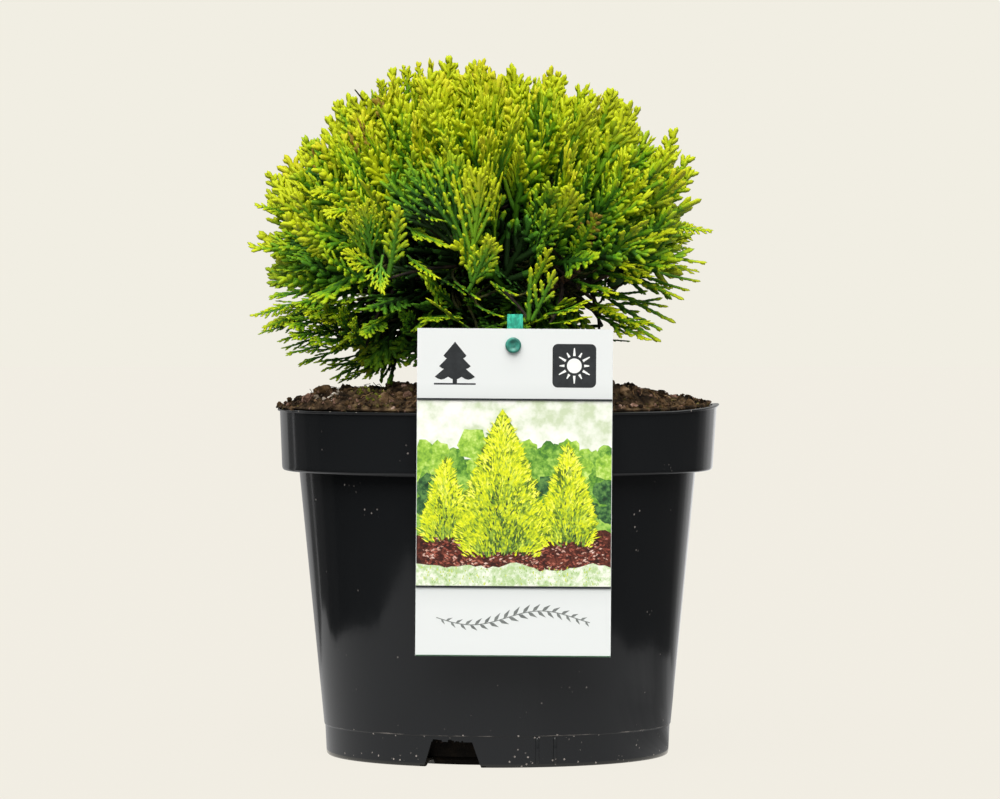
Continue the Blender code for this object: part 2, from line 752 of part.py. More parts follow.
def make_mass(mass, masses, core, path, sprays, leaf):
    """Fuses one mass: core, the stem that goes on from the bough, and a twig for each spray."""
    onward = (path[-1] - path[-2]).normalized()
    stem_start = path[-1] + onward * CLEARANCE
    stem = [stem_start, stem_start.lerp(mass.centre, 0.5), mass.centre]
    stem[1] = stem_start + onward * (stem[1] - stem_start).length
    pieces = [add_object("stem", limb(stem, taper(STEM_RADIUS, 3), BOUGH_SIDES), None)]
    placed = []
    for spray in sprays:
        fitted = fit_spray(mass, masses, placed, *spray)
        if not fitted:
            continue
        blade, tree, root, palm = fitted
        placed.append(tree)
        pieces.append(add_object("spray", blade, None))
        if not in_core_space(mass, masses, root):
            twig = limb([mass.centre, root.lerp(palm, 0.7)], TWIG_RADIUS, 3)
            pieces.append(add_object("twig", twig, None))
    core.data.materials.append(leaf)
    join(core, pieces)
    return len(placed)


def make_plant():
    """The trunk, its boughs, and the masses of foliage round them."""
    bark = new_material("bark", (0.105, 0.058, 0.032), 0.85)
    leaf = new_material("foliage", (0.205, 0.300, 0.020), 0.55)
    trunk = add_object("trunk", trunk_mesh(), bark)
    smooth(trunk, 60)
    masses = plan_masses()
    cores = {m.label: add_object("foliage_" + m.label, core_mesh(m, masses), None) for m in masses}
    paths = make_boughs(masses, bark)
    plan = {mass.label: [] for mass in masses}
    for spray in spray_plan():
        plan[owner_of(masses, spray[0]).label].append(spray)
    placed = 0
    for mass, path in zip(masses, paths):
        placed += make_mass(mass, masses, cores[mass.label], path, plan[mass.label], leaf)
    print("sprays placed:", placed, "of", SPRAYS)


def main():
    """Builds the whole object."""
    clear_scene()
    make_pot()
    make_soil()
    make_label()
    make_stake()
    make_plant()


main()
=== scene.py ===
"""Dresses the potted globe thuja: pot, soil, limbs, twigs, scaly sprays, label, stake and studio.

Laid out as a Blender add-on: one operator for each piece or group of like pieces. Units are metres.
"""

import json
import random
from collections import namedtuple
from math import acos, atan2, cos, degrees, hypot, pi, radians, sin, sqrt

import bmesh
import bpy
import numpy as np
from bpy.props import FloatProperty, FloatVectorProperty, IntProperty, PointerProperty
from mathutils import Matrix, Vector, noise

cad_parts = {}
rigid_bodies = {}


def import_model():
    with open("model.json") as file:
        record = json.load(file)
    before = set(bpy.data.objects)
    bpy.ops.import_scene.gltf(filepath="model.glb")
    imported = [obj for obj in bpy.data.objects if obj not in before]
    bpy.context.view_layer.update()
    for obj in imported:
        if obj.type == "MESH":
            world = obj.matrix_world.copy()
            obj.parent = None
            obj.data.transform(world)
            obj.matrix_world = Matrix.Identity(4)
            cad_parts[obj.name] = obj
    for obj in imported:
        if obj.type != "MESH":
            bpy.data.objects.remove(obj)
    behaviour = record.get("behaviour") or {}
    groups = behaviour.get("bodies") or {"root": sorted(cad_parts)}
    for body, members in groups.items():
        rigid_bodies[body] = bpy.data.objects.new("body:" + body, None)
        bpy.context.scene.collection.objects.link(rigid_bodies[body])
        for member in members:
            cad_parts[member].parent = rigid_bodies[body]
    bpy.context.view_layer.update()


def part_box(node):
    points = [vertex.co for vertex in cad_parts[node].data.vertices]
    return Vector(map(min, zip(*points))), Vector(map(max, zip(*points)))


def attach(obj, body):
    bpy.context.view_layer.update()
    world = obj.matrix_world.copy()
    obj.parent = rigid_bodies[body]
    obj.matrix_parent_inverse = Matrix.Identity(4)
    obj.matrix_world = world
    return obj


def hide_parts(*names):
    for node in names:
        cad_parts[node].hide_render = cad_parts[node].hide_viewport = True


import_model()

bl_info = {
    "name": "Potted Globe Thuja",
    "version": (1, 0, 0),
    "blender": (4, 5, 0),
    "location": "View3D > Sidebar > Thuja",
    "description": "Builds a globe thuja in a nursery pot with soil, limbs, scaly sprays and a plant label",
    "category": "Object",
}

BODY = "root"
UP = Vector((0, 0, 1))
SEED = 11

# The pot, as in the solids.
POT_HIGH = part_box("pot")[1]
POT_HEIGHT = POT_HIGH.z
LIP_RADIUS = POT_HIGH.x
RIM_TOP_RADIUS = 0.0938
RIM_FOOT_RADIUS = 0.0929
RIM_FOOT_Z = 0.1233
BODY_TOP_RADIUS = 0.0861
BODY_FOOT_RADIUS = 0.0753
FOOT_BAND_Z = 0.0133
FOOT_RADIUS = 0.0743
WALL = 0.0012
BASE_DISC_RADIUS = 0.060
BASE_GROOVE = 0.0020
NOTCH_ANGLES = (-105.0, 15.0, 135.0)
NOTCH_FOOT_WIDTH = 0.0250
NOTCH_TOP_WIDTH = 0.0178
NOTCH_HEIGHT = 0.0108
FLOOR_HOLES = 6
FLOOR_HOLE_RADIUS = 0.0045
FLOOR_HOLE_RING = 0.040

# The soil.
SOIL_TOP_Z = 0.1595
SOIL_FLAT_RADIUS = 0.014
SOIL_FALL = 0.0060  # from the trunk to the rim
SOIL_CALM = 0.012  # past the flat part the lumps grow over this distance
SOIL_LUMP = 0.0022
SOIL_LUMP_SIZE = 0.012
SOIL_SPILL = 0.0050  # how far it lies out over the lip on the left
SOIL_RELIEF = ((0.0075, 0.0026), (0.0034, 0.0024), (0.0014, 0.0010))  # size, height of clods, crumbs, grit
SOIL_SLUMP = 0.0026  # how much lower the heap lies behind the rim
SOIL_SLUMP_RIGHT = 0.0016  # and how much more than that at its right end
LIP_LIFT = 0.0022  # the lip is bent up by this much at its right end
LIP_LEAN = 0.0008  # and out by this much
LIP_BEND = 38.0  # over this many degrees to either side

# The label and its stake.
CARD_LOW, CARD_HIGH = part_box("label_card")
CARD_MIDDLE = (CARD_LOW.x + CARD_HIGH.x) / 2
STAKE_LOW, STAKE_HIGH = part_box("label_stake")
STUD_X = (STAKE_LOW.x + STAKE_HIGH.x) / 2
STUD_Z = 0.1783
STAKE_WIDTH = 0.0066
STAKE_SHIFT = 0.0008  # the stake stands this much to the right of its stud
STAKE_THICK = 0.0020
STAKE_BACK_Y = STAKE_HIGH.y

# The crown, as in the solids.
CROWN_CENTRE = np.array((-0.0065, 0.0, 0.2263))
CROWN_RADIUS = 0.1030
CROWN_RISE = 0.0765
CROWN_DROP = 0.0560
CROWN_SKIRT = 0.0080
CROWN_POWERS = (2.0, 3.0)
CROWN_FLOOR_Z = 0.1610
GROWTH_ORIGIN = np.array((-0.004, 0.0, 0.186))
HOLLOWS = (  # way from the crown's centre, half angle and depth
    ((0.09, -1.0, -0.19), 27, 0.20),
    ((-0.30, -0.94, 0.15), 14, 0.12),
    ((-0.36, -0.94, -0.10), 13, 0.10),
    ((-0.12, -0.985, 0.12), 11, 0.08),
    ((-0.48, -0.87, 0.00), 10, 0.06),
    ((-0.47, -0.86, -0.17), 10, 0.06),
    ((0.18, -0.96, 0.20), 12, 0.07),
)
RINGS = (("top", 1, 90.0, 0.0), ("upper", 5, 33.0, 54.0), ("lower", 8, -16.0, 0.0))
MASS_SHARE = 0.60
BOUGH_REACH = 0.036

# The limbs, as in the solids.
TRUNK_FOOT = Vector((0.0010, 0.0020, SOIL_TOP_Z + 0.0003))
TRUNK_TIP = Vector((-0.0045, 0.0, 0.1920))
TRUNK_RADIUS = (0.0078, 0.0052)
TRUNK_FLARE = 0.0036
BOUGH_RADIUS = (0.0027, 0.0020)
STEM_RADIUS = (0.0020, 0.0013)
BOUGH_LEVELS = {"top": (1.0,), "upper": (0.76, 0.84), "lower": (0.30, 0.52)}
BOUGH_ROOT = 0.0036
BOUGH_ARCH = 0.14

# The camera, worked out from the object's place in a frame 1000 by 799 pixels.
FRAME_WIDTH = 1000
SENSOR_WIDTH = 36.0  # millimetres
FOCAL_PIXELS = 5246
CAMERA_PLACE = Vector((0.0011, -2.28, 0.200))
CAMERA_PITCH = radians(1.162)


# ---------------------------------------------------------------- settings


def colour_setting(name, description, default):
    """A colour property, shown with a colour picker."""
    return FloatVectorProperty(
        name=name, description=description, subtype="COLOR", size=3, default=default
    )


def length_setting(name, description, default, least):
    """A length property in metres."""
    return FloatProperty(name=name, description=description, default=default, min=least, unit="LENGTH")


class ThujaPotSettings(bpy.types.PropertyGroup):
    """Sizes and colour of the pot."""

    colour: colour_setting("Plastic colour", "Colour of the moulded plastic", (0.0110, 0.0120, 0.0134))
    sides: IntProperty(name="Sides", description="Facets round the pot", default=192, min=24)


class ThujaCrownSettings(bpy.types.PropertyGroup):
    """How many sprays the crown has, and their size."""

    sprays: IntProperty(
        name="Sprays", description="Sprays that make the crown's surface", default=580, min=1
    )
    inner_sprays: IntProperty(
        name="Inner sprays", description="Plainer sprays further inside", default=600, min=0
    )
    spray_length: length_setting("Spray length", "Mean length of a spray", 0.040, 0.005)
    cord_width: length_setting("Shoot width", "Width of a spray's scaly shoots", 0.0029, 0.0005)


class ThujaLabelSettings(bpy.types.PropertyGroup):
    """Colours of the label and its stake."""

    card_colour: colour_setting("Card colour", "Colour of the card's plastic", (0.738, 0.762, 0.768))
    stake_colour: colour_setting("Stake colour", "Colour of the stake's plastic", (0.060, 0.640, 0.450))
    stud_colour: colour_setting(
        "Stud colour", "Colour of the stud that holds the card", (0.035, 0.270, 0.210)
    )


class ThujaStudioSettings(bpy.types.PropertyGroup):
    """Floor and light."""

    floor_size: length_setting("Floor size", "Width of the paper floor", 24.0, 1.0)
    sun: FloatProperty(
        name="Overhead light", description="Strength of the wide light above", default=4.40, min=0.0
    )
    fill: FloatProperty(
        name="Fill light", description="Strength of the light from all sides", default=0.38, min=0.0
    )


# ---------------------------------------------------------------- materials


def srgb(text):
    """An sRGB hex colour as linear red, green, blue and alpha."""
    values = [int(text[i : i + 2], 16) / 255 for i in (0, 2, 4)]
    linear = [v / 12.92 if v <= 0.04045 else ((v + 0.055) / 1.055) ** 2.4 for v in values]
    return (*linear, 1.0)


def plug(tree, made, links):
    """Links sources to a node's inputs. A node stands for the first of its outputs that is in use."""
    for key, source in links.items():
        if isinstance(source, bpy.types.Node):
            source = next(output for output in source.outputs if output.enabled)
        tree.links.new(source, made.inputs[key])


def node(tree, kind, values=None, links=None, **settings):
    """Adds a shader node with its settings, its input values and the sources of its other inputs."""
    made = tree.nodes.new("ShaderNode" + kind)
    for key, value in settings.items():
        setattr(made, key, value)
    for key, value in (values or {}).items():
        made.inputs[key].default_value = value
    plug(tree, made, links or {})
    return made


def new_material(name, **values):
    """A Principled material with plain values on its sockets. Returns it, its tree and shader."""
    material = bpy.data.materials.new(name)
    material.use_nodes = True
    tree = material.node_tree
    shader = tree.nodes["Principled BSDF"]
    for key, value in values.items():
        shader.inputs[key.replace("_", " ")].default_value = value
    return material, tree, shader


def colour_stops(ramp, places, texts):
    """Sets a colour ramp's stops from their places and hex colours. Returns the ramp."""
    elements = ramp.color_ramp.elements
    while len(elements) > 1:
        elements.remove(elements[0])
    elements[0].position, elements[0].color = places[0], srgb(texts[0])
    for place, text in zip(places[1:], texts[1:]):
        elements.new(place).color = srgb(text)
    return ramp


RANGE = ("From Min", "From Max", "To Min", "To Max")  # what a range and the one it becomes are called


def moulded_polypropylene_black(colour):
    """Injection-moulded polypropylene: glossy with faint flow clouds, dusty at seam, lip and foot."""
    material, tree, shader = new_material("moulded_polypropylene_black", IOR=1.46)
    place = node(tree, "TexCoord").outputs["Object"]
    # Cloudy flow marks about 25 mm across make the gloss uneven.
    clouds = node(tree, "TexNoise", {"Scale": 40.0, "Detail": 3.0}, {"Vector": place})
    rough = node(tree, "MapRange", dict(zip(RANGE, (0.3, 0.7, 0.09, 0.14))), {"Value": clouds})
    # How readily dust stays, by height: it lies on the foot's edge, in the seam and on the lip.
    height = node(tree, "SeparateXYZ", {}, {"Vector": place}).outputs["Z"]
    level = node(tree, "Math", {1: POT_HEIGHT}, {0: height}, operation="DIVIDE")
    stay = node(tree, "ValToRGB", {}, {"Fac": level})
    seam = FOOT_BAND_Z / POT_HEIGHT
    near_seam = [seam + off for off in (-0.004, -0.002, 0.002, 0.004)]
    heights = [0.0, 0.020, 0.032, *near_seam, 0.34, 0.9950, 0.9985]
    colour_stops(stay, heights, [3 * grey for grey in "BE 9C 58 40 FF FF 30 05 14 B4".split()])
    # Patches of film about 10 mm long, and single grains of about 0.6 mm.
    patches = node(tree, "TexNoise", {"Scale": 95.0, "Detail": 2.0}, {"Vector": place})
    both = node(tree, "Math", {}, {0: patches, 1: stay}, operation="ADD")
    film = node(tree, "MapRange", dict(zip(RANGE, (1.44, 1.62, 0.0, 0.6))), {"Value": both})
    grains = node(tree, "TexVoronoi", {"Scale": 380.0, "Randomness": 1.0}, {"Vector": place})
    small = node(tree, "MapRange", dict(zip(RANGE, (0.20, 0.10, 0.0, 0.9))), {"Value": grains})
    dusty = node(tree, "MapRange", dict(zip(RANGE, (0.64, 0.74, 0.0, 1.0))), {"Value": both})
    flecks = node(tree, "Math", {}, {0: small, 1: dusty}, operation="MULTIPLY")
    dust = node(tree, "Math", {}, {0: film, 1: flecks}, operation="MAXIMUM")
    ends = {"A": (*colour, 1.0), "B": srgb("A79E98")}
    tint = node(tree, "Mix", ends, {"Factor": dust}, data_type="RGBA")
    matt = node(tree, "Math", {1: 0.55}, {0: dust, 2: rough}, operation="MULTIPLY_ADD")
    # A faint orange peel about 3 mm across, left by the mould.
    peel = node(tree, "TexNoise", {"Scale": 330.0, "Detail": 1.0}, {"Vector": place})
    bump = node(tree, "Bump", {"Strength": 0.025, "Distance": 0.0003}, {"Height": peel})
    plug(tree, shader, {"Base Color": tint, "Roughness": matt, "Normal": bump})
    return material


PEATS = (  # peat and what lies in it, each from its dark hollows to its pale fibres
    ("moist_peat", ("0F0A07", "2B2117", "4A3A2A", "705E44")),
    ("peat_crumb_dark", ("0B0806", "1A130E", "2B2016", "473724")),
    ("peat_crumb_brown", ("1C130C", "40301D", "614C37", "836B52")),
    ("peat_crumb_rosy", ("32221A", "60483B", "88695C", "B09688")),
    ("peat_crumb_olive", ("181609", "3A331C", "5B512E", "80744A")),
    ("moss_green", ("262A0A", "484E16", "6C7026", "8E8E44")),
    ("grit_pale", ("6A5D4E", "9A8E80", "C8BEB2", "E6E0D6")),
    ("straw_pale", ("5A472D", "8E744D", "B49A72", "CDB994")),
    ("straw_brown", ("2A1D12", "563F28", "7C6144", "9A8064")),
)


def moist_peat(name, tones):
    """Moist peat: dark, matt crumbs with paler fibres through them; near black low in the pot as painted
    shade.
    """
    material, tree, shader = new_material(name, Roughness=0.95, IOR=1.4, Specular_IOR_Level=0.12)
    place = node(tree, "TexCoord").outputs["Object"]
    # Clods of about 5 mm and fibres of about 1 mm.
    clods = node(tree, "TexNoise", {"Scale": 190.0, "Detail": 6.0}, {"Vector": place})
    tone = colour_stops(node(tree, "ValToRGB", {}, {"Fac": clods}), (0.32, 0.46, 0.58, 0.70), tones)
    crisp = {"Scale": 900.0, "Detail": 3.0, "Distortion": 1.5}
    fibres = node(tree, "TexNoise", crisp, {"Vector": place})
    pale = node(tree, "MapRange", dict(zip(RANGE, (0.58, 0.70, 0.0, 0.5))), {"Value": fibres})
    tint = node(tree, "Mix", {"B": srgb(tones[3])}, {"Factor": pale, "A": tone}, data_type="RGBA")
    # Painted shade: below 5 cm the peat is near black, fading to its own tones by 12 cm.
    height = node(tree, "SeparateXYZ", {}, {"Vector": place}).outputs["Z"]
    unshaded_share = node(tree, "MapRange", dict(zip(RANGE, (0.05, 0.12, 0.06, 1.0))), {"Value": height})
    painted_shade_low = node(tree, "Mix", {"A": srgb("050403")}, {"Factor": unshaded_share, "B": tint}, data_type="RGBA")
    bump = node(tree, "Bump", {"Strength": 0.7, "Distance": 0.0012}, {"Height": fibres})
    plug(tree, shader, {"Base Color": painted_shade_low, "Normal": bump})
    return material


def thuja_bark():
    """Young conifer bark: matt, fissured lengthwise, red-brown with greyer ridges."""
    material, tree, shader = new_material("thuja_bark", Roughness=0.9, IOR=1.4)
    place = node(tree, "TexCoord").outputs["Object"]
    # Fissures about 1.5 mm apart, drawn out four times along the limb.
    squeezed = node(tree, "Mapping", {"Scale": (1.0, 1.0, 0.25)}, {"Vector": place})
    crisp = {"Scale": 700.0, "Detail": 4.0, "Roughness": 0.6}
    fissures = node(tree, "TexNoise", crisp, {"Vector": squeezed})
    tone = node(tree, "ValToRGB", {}, {"Fac": fissures})
    colour_stops(tone, (0.34, 0.50, 0.66), ("2B1A10", "5C3E29", "8B6A4C"))
    bump = node(tree, "Bump", {"Strength": 0.8, "Distance": 0.0006}, {"Height": fissures})
    plug(tree, shader, {"Base Color": tone, "Normal": bump})
    return material


# Scaly foliage: a waxy skin over green tissue, satin where it curves. The young ends are lime, and
# each step inwards is older and darker; deep in the crown, in its hollows and low down, the darker
# colours are also painted shade. One plain colour each, dealt out by spray.
FOLIAGE_COLOURS = (
    ("thuja_scale_gold", "BFC016"),
    ("thuja_scale_lime", "B6C20E"),
    ("thuja_scale_yellow_green", "9AB30B"),
    ("thuja_scale_fresh", "6E9C12"),
    ("thuja_scale_mid", "4B8016"),
    ("thuja_scale_deep", "315F16"),
    ("thuja_scale_dark", "19320F"),
    ("thuja_scale_brown", "85701E"),
)
GOLD, LIME, YELLOW_GREEN, FRESH, MID, DEEP, DARK, BROWN = range(len(FOLIAGE_COLOURS))
# The shadier palettes are partly painted shade.
PALETTES = (  # a spray's colours from its young tips to its foot, from the sunniest to the shadiest
    (GOLD, LIME, YELLOW_GREEN, FRESH),
    (LIME, LIME, YELLOW_GREEN, FRESH),
    (LIME, YELLOW_GREEN, FRESH, MID),
    (YELLOW_GREEN, FRESH, MID, DEEP),
    (YELLOW_GREEN, FRESH, DEEP, DEEP),
    (FRESH, MID, DEEP, DARK),
    (MID, DEEP, DARK, DARK),
    (DEEP, DARK, DARK, DARK),
)
BROWNED = (BROWN, YELLOW_GREEN, FRESH, MID)


def foliage_materials():
    """The foliage's plain satin colours, in the order of FOLIAGE_COLOURS."""
    satin = {"Roughness": 0.58, "IOR": 1.40, "Specular_IOR_Level": 0.32}
    return [new_material(name, Base_Color=srgb(text), **satin)[0] for name, text in FOLIAGE_COLOURS]


# ---------------------------------------------------------------- meshes


def finish_piece(obj, slot, *nodes):
    """Lets a piece ride with the object and stand for its nodes, if it has any. The slot is not used."""
    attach(obj, BODY)
    if nodes:
        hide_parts(*nodes)


def link_mesh(name, mesh, materials):
    """An object that holds a mesh and its materials."""
    for material in materials:
        mesh.materials.append(material)
    obj = bpy.data.objects.new(name, mesh)
    bpy.context.scene.collection.objects.link(obj)
    return obj


def closed_mesh(name, bm):
    """A mesh from a bmesh, with its faces turned outwards. Frees the bmesh."""
    bmesh.ops.recalc_face_normals(bm, faces=bm.faces)
    mesh = bpy.data.meshes.new(name)
    bm.to_mesh(mesh)
    bm.free()
    return mesh


def mesh_from_bmesh(name, bm, materials, sharp=40):
    """An object from a bmesh, shaded smooth but for edges sharper than an angle in degrees."""
    mesh = closed_mesh(name, bm)
    mesh.shade_smooth()
    mesh.set_sharp_from_angle(angle=radians(sharp))
    return link_mesh(name, mesh, materials)


def mesh_from_arrays(name, verts, faces, materials, indices=None):
    """An object from numpy arrays. faces is a list of (n, 3) and (n, 4) arrays of corners."""
    mesh = bpy.data.meshes.new(name)
    mesh.vertices.add(len(verts))
    mesh.vertices.foreach_set("co", np.ascontiguousarray(verts, dtype=np.float32).ravel())
    totals = np.concatenate([np.full(len(f), f.shape[1], dtype=np.int32) for f in faces])
    corners = np.concatenate([f.ravel() for f in faces]).astype(np.int32)
    starts = np.concatenate(([0], np.cumsum(totals)[:-1])).astype(np.int32)
    mesh.loops.add(len(corners))
    mesh.loops.foreach_set("vertex_index", corners)
    mesh.polygons.add(len(totals))
    mesh.polygons.foreach_set("loop_start", starts)
    mesh.polygons.foreach_set("loop_total", totals)
    if indices is not None:
        mesh.polygons.foreach_set("material_index", indices.astype(np.int32))
    mesh.update(calc_edges=True)
    mesh.validate()
    mesh.shade_smooth()
    return link_mesh(name, mesh, materials)


def circle(count):
    """Angles in radians, evenly round a circle."""
    return [2 * pi * i / count for i in range(count)]


def polar(radius, angle, z):
    """A point at a radius and an angle in radians round the Z axis."""
    return Vector((radius * cos(angle), radius * sin(angle), z))


def skin_rings(bm, rings):
    """Joins rings of equal length into a tube whose two ends are closed by flat faces."""
    made = [[bm.verts.new(point) for point in ring] for ring in rings]
    count = len(made[0])
    for low, high in zip(made, made[1:]):
        for i in range(count):
            j = (i + 1) % count
            bm.faces.new((low[i], low[j], high[j], high[i]))
    bm.faces.new(list(reversed(made[0])))
    bm.faces.new(made[-1])


def clamped(value):
    """A value kept between 0 and 1."""
    return min(max(value, 0.0), 1.0)


def unit(vectors):
    """Vectors of a numpy array scaled to length one."""
    return vectors / np.linalg.norm(vectors, axis=-1, keepdims=True)


# ---------------------------------------------------------------- pot


def arc_corner(before, corner, after, radius, steps):
    """Points of a rounded corner of a profile, as a curve between its two straight sides."""
    a, b, c = Vector(before), Vector(corner), Vector(after)
    start = b + (a - b).normalized() * min(radius, (a - b).length * 0.45)
    end = b + (c - b).normalized() * min(radius, (c - b).length * 0.45)
    shares = [k / steps for k in range(steps + 1)]
    return [tuple(start * (1 - t) ** 2 + b * 2 * t * (1 - t) + end * t**2) for t in shares]


def pot_profile():
    """The wall's section: up the outside from the underside disc, over the lip, down to the floor."""
    return [
        (BASE_DISC_RADIUS, 0.0),
        (BASE_DISC_RADIUS + 0.0015, BASE_GROOVE),
        (FOOT_RADIUS - 0.0055, BASE_GROOVE),
        (FOOT_RADIUS - 0.0040, 0.0),
        (FOOT_RADIUS - 0.0006, 0.0),
        (FOOT_RADIUS, 0.0008),
        (FOOT_RADIUS + 0.0006, FOOT_BAND_Z - 0.0003),
        (BODY_FOOT_RADIUS, FOOT_BAND_Z),
        (BODY_TOP_RADIUS, RIM_FOOT_Z),
        (RIM_FOOT_RADIUS - 0.0007, RIM_FOOT_Z),
        (RIM_FOOT_RADIUS + 0.0001, RIM_FOOT_Z + 0.0003),
        (RIM_FOOT_RADIUS + 0.0006, RIM_FOOT_Z + 0.0011),
        (RIM_FOOT_RADIUS + 0.0007, RIM_FOOT_Z + 0.0024),
        (RIM_TOP_RADIUS + 0.0007, POT_HEIGHT - 0.0011),
        (LIP_RADIUS + 0.0004, POT_HEIGHT - 0.0009),
        (LIP_RADIUS + 0.0006, POT_HEIGHT - 0.0003),
        (LIP_RADIUS, POT_HEIGHT),
        (RIM_TOP_RADIUS - WALL + 0.0005, POT_HEIGHT),
        (RIM_TOP_RADIUS - WALL, POT_HEIGHT - 0.0010),
        (RIM_FOOT_RADIUS - WALL, RIM_FOOT_Z + 0.0024),
        (BODY_TOP_RADIUS - WALL, RIM_FOOT_Z + WALL),
        (FOOT_RADIUS - WALL, BASE_GROOVE + WALL),
        (BASE_DISC_RADIUS + 0.0015, BASE_GROOVE + WALL),
        (BASE_DISC_RADIUS, WALL),
    ]


def turned_shell(profile, sides):
    """A bmesh turned from an open profile whose first and last points are closed by discs."""
    bm = bmesh.new()
    skin_rings(bm, [[polar(r, angle, z) for angle in circle(sides)] for r, z in profile])
    return bm


def trapezoid_bar(angle, foot_width, top_width, low, high, near, far):
    """A bmesh bar of trapezium section that crosses the wall at an angle round the pot."""
    bm = bmesh.new()
    outward = polar(1.0, angle, 0.0)
    across = polar(1.0, angle + pi / 2, 0.0)
    foot, top = foot_width / 2, top_width / 2
    section = [(-foot, low), (foot, low), (top, high), (-top, high)]
    skin_rings(bm, [[outward * r + across * w + UP * z for w, z in section] for r in (near, far)])
    return bm


def subtract(obj, cutters):
    """Cuts bmesh cutters out of an object and applies the result."""
    collection = bpy.data.collections.new("cutters")
    bpy.context.scene.collection.children.link(collection)
    for bm in cutters:
        collection.objects.link(bpy.data.objects.new("cutter", closed_mesh("cutter", bm)))
    modifier = obj.modifiers.new("cuts", "BOOLEAN")
    modifier.operation = "DIFFERENCE"
    modifier.operand_type = "COLLECTION"
    modifier.collection = collection
    modifier.solver = "EXACT"
    bpy.context.view_layer.update()
    graph = bpy.context.evaluated_depsgraph_get()
    made = bpy.data.meshes.new_from_object(obj.evaluated_get(graph))
    obj.modifiers.clear()
    obj.data = made
    for cutter in list(collection.objects):
        bpy.data.objects.remove(cutter)
    bpy.data.collections.remove(collection)


def lip_bend(x, y):
    """How far the lip is bent out of shape at a place, from 0 to 1 at its right end."""
    return max(0.0, 1 - abs(degrees(atan2(y, x))) / LIP_BEND)


def bend_lip(obj):
    """Lifts the lip at its right end."""
    for vert in obj.data.vertices:
        if vert.co.z > POT_HEIGHT - 0.0030:
            bend = lip_bend(vert.co.x, vert.co.y)
            vert.co.z += LIP_LIFT * bend
            vert.co.x += LIP_LEAN * bend


class THUJA_OT_pot(bpy.types.Operator):
    """Makes the moulded pot with its rim band, stepped foot, drain notches and ribs"""

    bl_idname = "thuja.pot"
    bl_label = "Pot"

    def execute(self, context):
        settings = context.scene.thuja_pot
        corners = pot_profile()
        profile = corners[:1]
        for before, corner, after in zip(corners, corners[1:], corners[2:]):
            round_by = 0.0002 if corner[1] > POT_HEIGHT - 0.0014 else 0.0005
            profile += arc_corner(before, corner, after, round_by, 3)
        profile += corners[-1:]
        plastic = moulded_polypropylene_black(tuple(settings.colour))
        peat_and_shade = moist_peat(*PEATS[0])
        shell = turned_shell(profile, settings.sides)
        pot = mesh_from_bmesh("pot_moulding", shell, [plastic, peat_and_shade], 30)
        subtract(pot, drainage_cutters())
        # Painted shade: the notches' broken faces take the peat, which is painted near black down there.
        peat_and_shade_in_notches(pot, 1)
        bend_lip(pot)
        pot.data.shade_smooth()
        pot.data.set_sharp_from_angle(angle=radians(32))
        finish_piece(pot, "pot_plastic", "pot")
        ribs = mesh_from_bmesh("pot_foot_ribs", foot_ribs(), [plastic], 50)
        finish_piece(ribs, "pot_plastic")
        return {"FINISHED"}


def drainage_cutters():
    """Cutters for the open notches, with a ragged broken edge, and for the floor's holes."""
    rng = random.Random(SEED)
    cutters = []
    near, far = FOOT_RADIUS - 0.0120, FOOT_RADIUS + 0.0060
    for angle in map(radians, NOTCH_ANGLES):
        slope = (NOTCH_FOOT_WIDTH - NOTCH_TOP_WIDTH) / NOTCH_HEIGHT
        foot = NOTCH_FOOT_WIDTH + slope * 0.002
        cutters.append(trapezoid_bar(angle, foot, NOTCH_TOP_WIDTH, -0.002, NOTCH_HEIGHT, near, far))
        for _ in range(11):
            # Crumbs of plastic broken out of the notch's upper edge.
            shift = rng.uniform(-0.5, 0.5) * (NOTCH_TOP_WIDTH - 0.002) / FOOT_RADIUS
            width = rng.uniform(0.0006, 0.0020)
            high = NOTCH_HEIGHT + rng.uniform(0.0003, 0.0010)
            low = NOTCH_HEIGHT - 0.001
            cutters.append(trapezoid_bar(angle + shift, width * 1.6, width, low, high, near, far))
    for i in range(FLOOR_HOLES):
        centre = polar(FLOOR_HOLE_RING, 2 * pi * (i + 0.5) / FLOOR_HOLES, 0.0)
        hole = turned_shell([(FLOOR_HOLE_RADIUS, -0.002), (FLOOR_HOLE_RADIUS, 0.004)], 32)
        bmesh.ops.translate(hole, vec=centre, verts=hole.verts)
        cutters.append(hole)
    return cutters


RIB_ANGLES = (28.0, 34.0)  # degrees from each notch to the two low ribs beside it
RIB_PROUD = 0.0006
RIB_WIDTH = 0.0016


def foot_ribs():
    """The low upright ribs that the foot band has beside each notch."""
    bm = bmesh.new()
    high = FOOT_BAND_Z - 0.0006
    for notch in NOTCH_ANGLES:
        for beside in RIB_ANGLES:
            angle = radians(notch + beside)
            out, across = polar(1.0, angle, 0.0), polar(1.0, angle + pi / 2, 0.0)
            rings = []
            for z, share in ((0.0014, 0.4), (0.0020, 1), (high - 0.0006, 1), (high, 0.4)):
                seat = out * (FOOT_RADIUS + 0.0006 * z / FOOT_BAND_Z) + UP * z
                ring = []
                for turn in circle(10):
                    lift = out * cos(turn) * RIB_PROUD * share
                    ring.append(seat + lift + across * sin(turn) * RIB_WIDTH / 2 * share)
                rings.append(ring)
            skin_rings(bm, rings)
    return bm


def peat_and_shade_in_notches(obj, peat_shade_index):
    """Gives the broken faces inside the notches the peat's material: peat dirt, painted near black there as
    shade.
    """
    half = degrees(NOTCH_FOOT_WIDTH / 2 / FOOT_RADIUS) + 1.5
    for face in obj.data.polygons:
        middle = face.center
        turn = degrees(atan2(middle.y, middle.x))
        near = any(abs((turn - notch + 180) % 360 - 180) < half for notch in NOTCH_ANGLES)
        radius = hypot(middle.x, middle.y)
        level = abs(face.normal.z) < 0.9 or middle.z > 0.001
        if near and level and 0.055 < radius < FOOT_RADIUS - 0.0002 and middle.z < FOOT_BAND_Z:
            face.material_index = peat_shade_index


# ---------------------------------------------------------------- soil


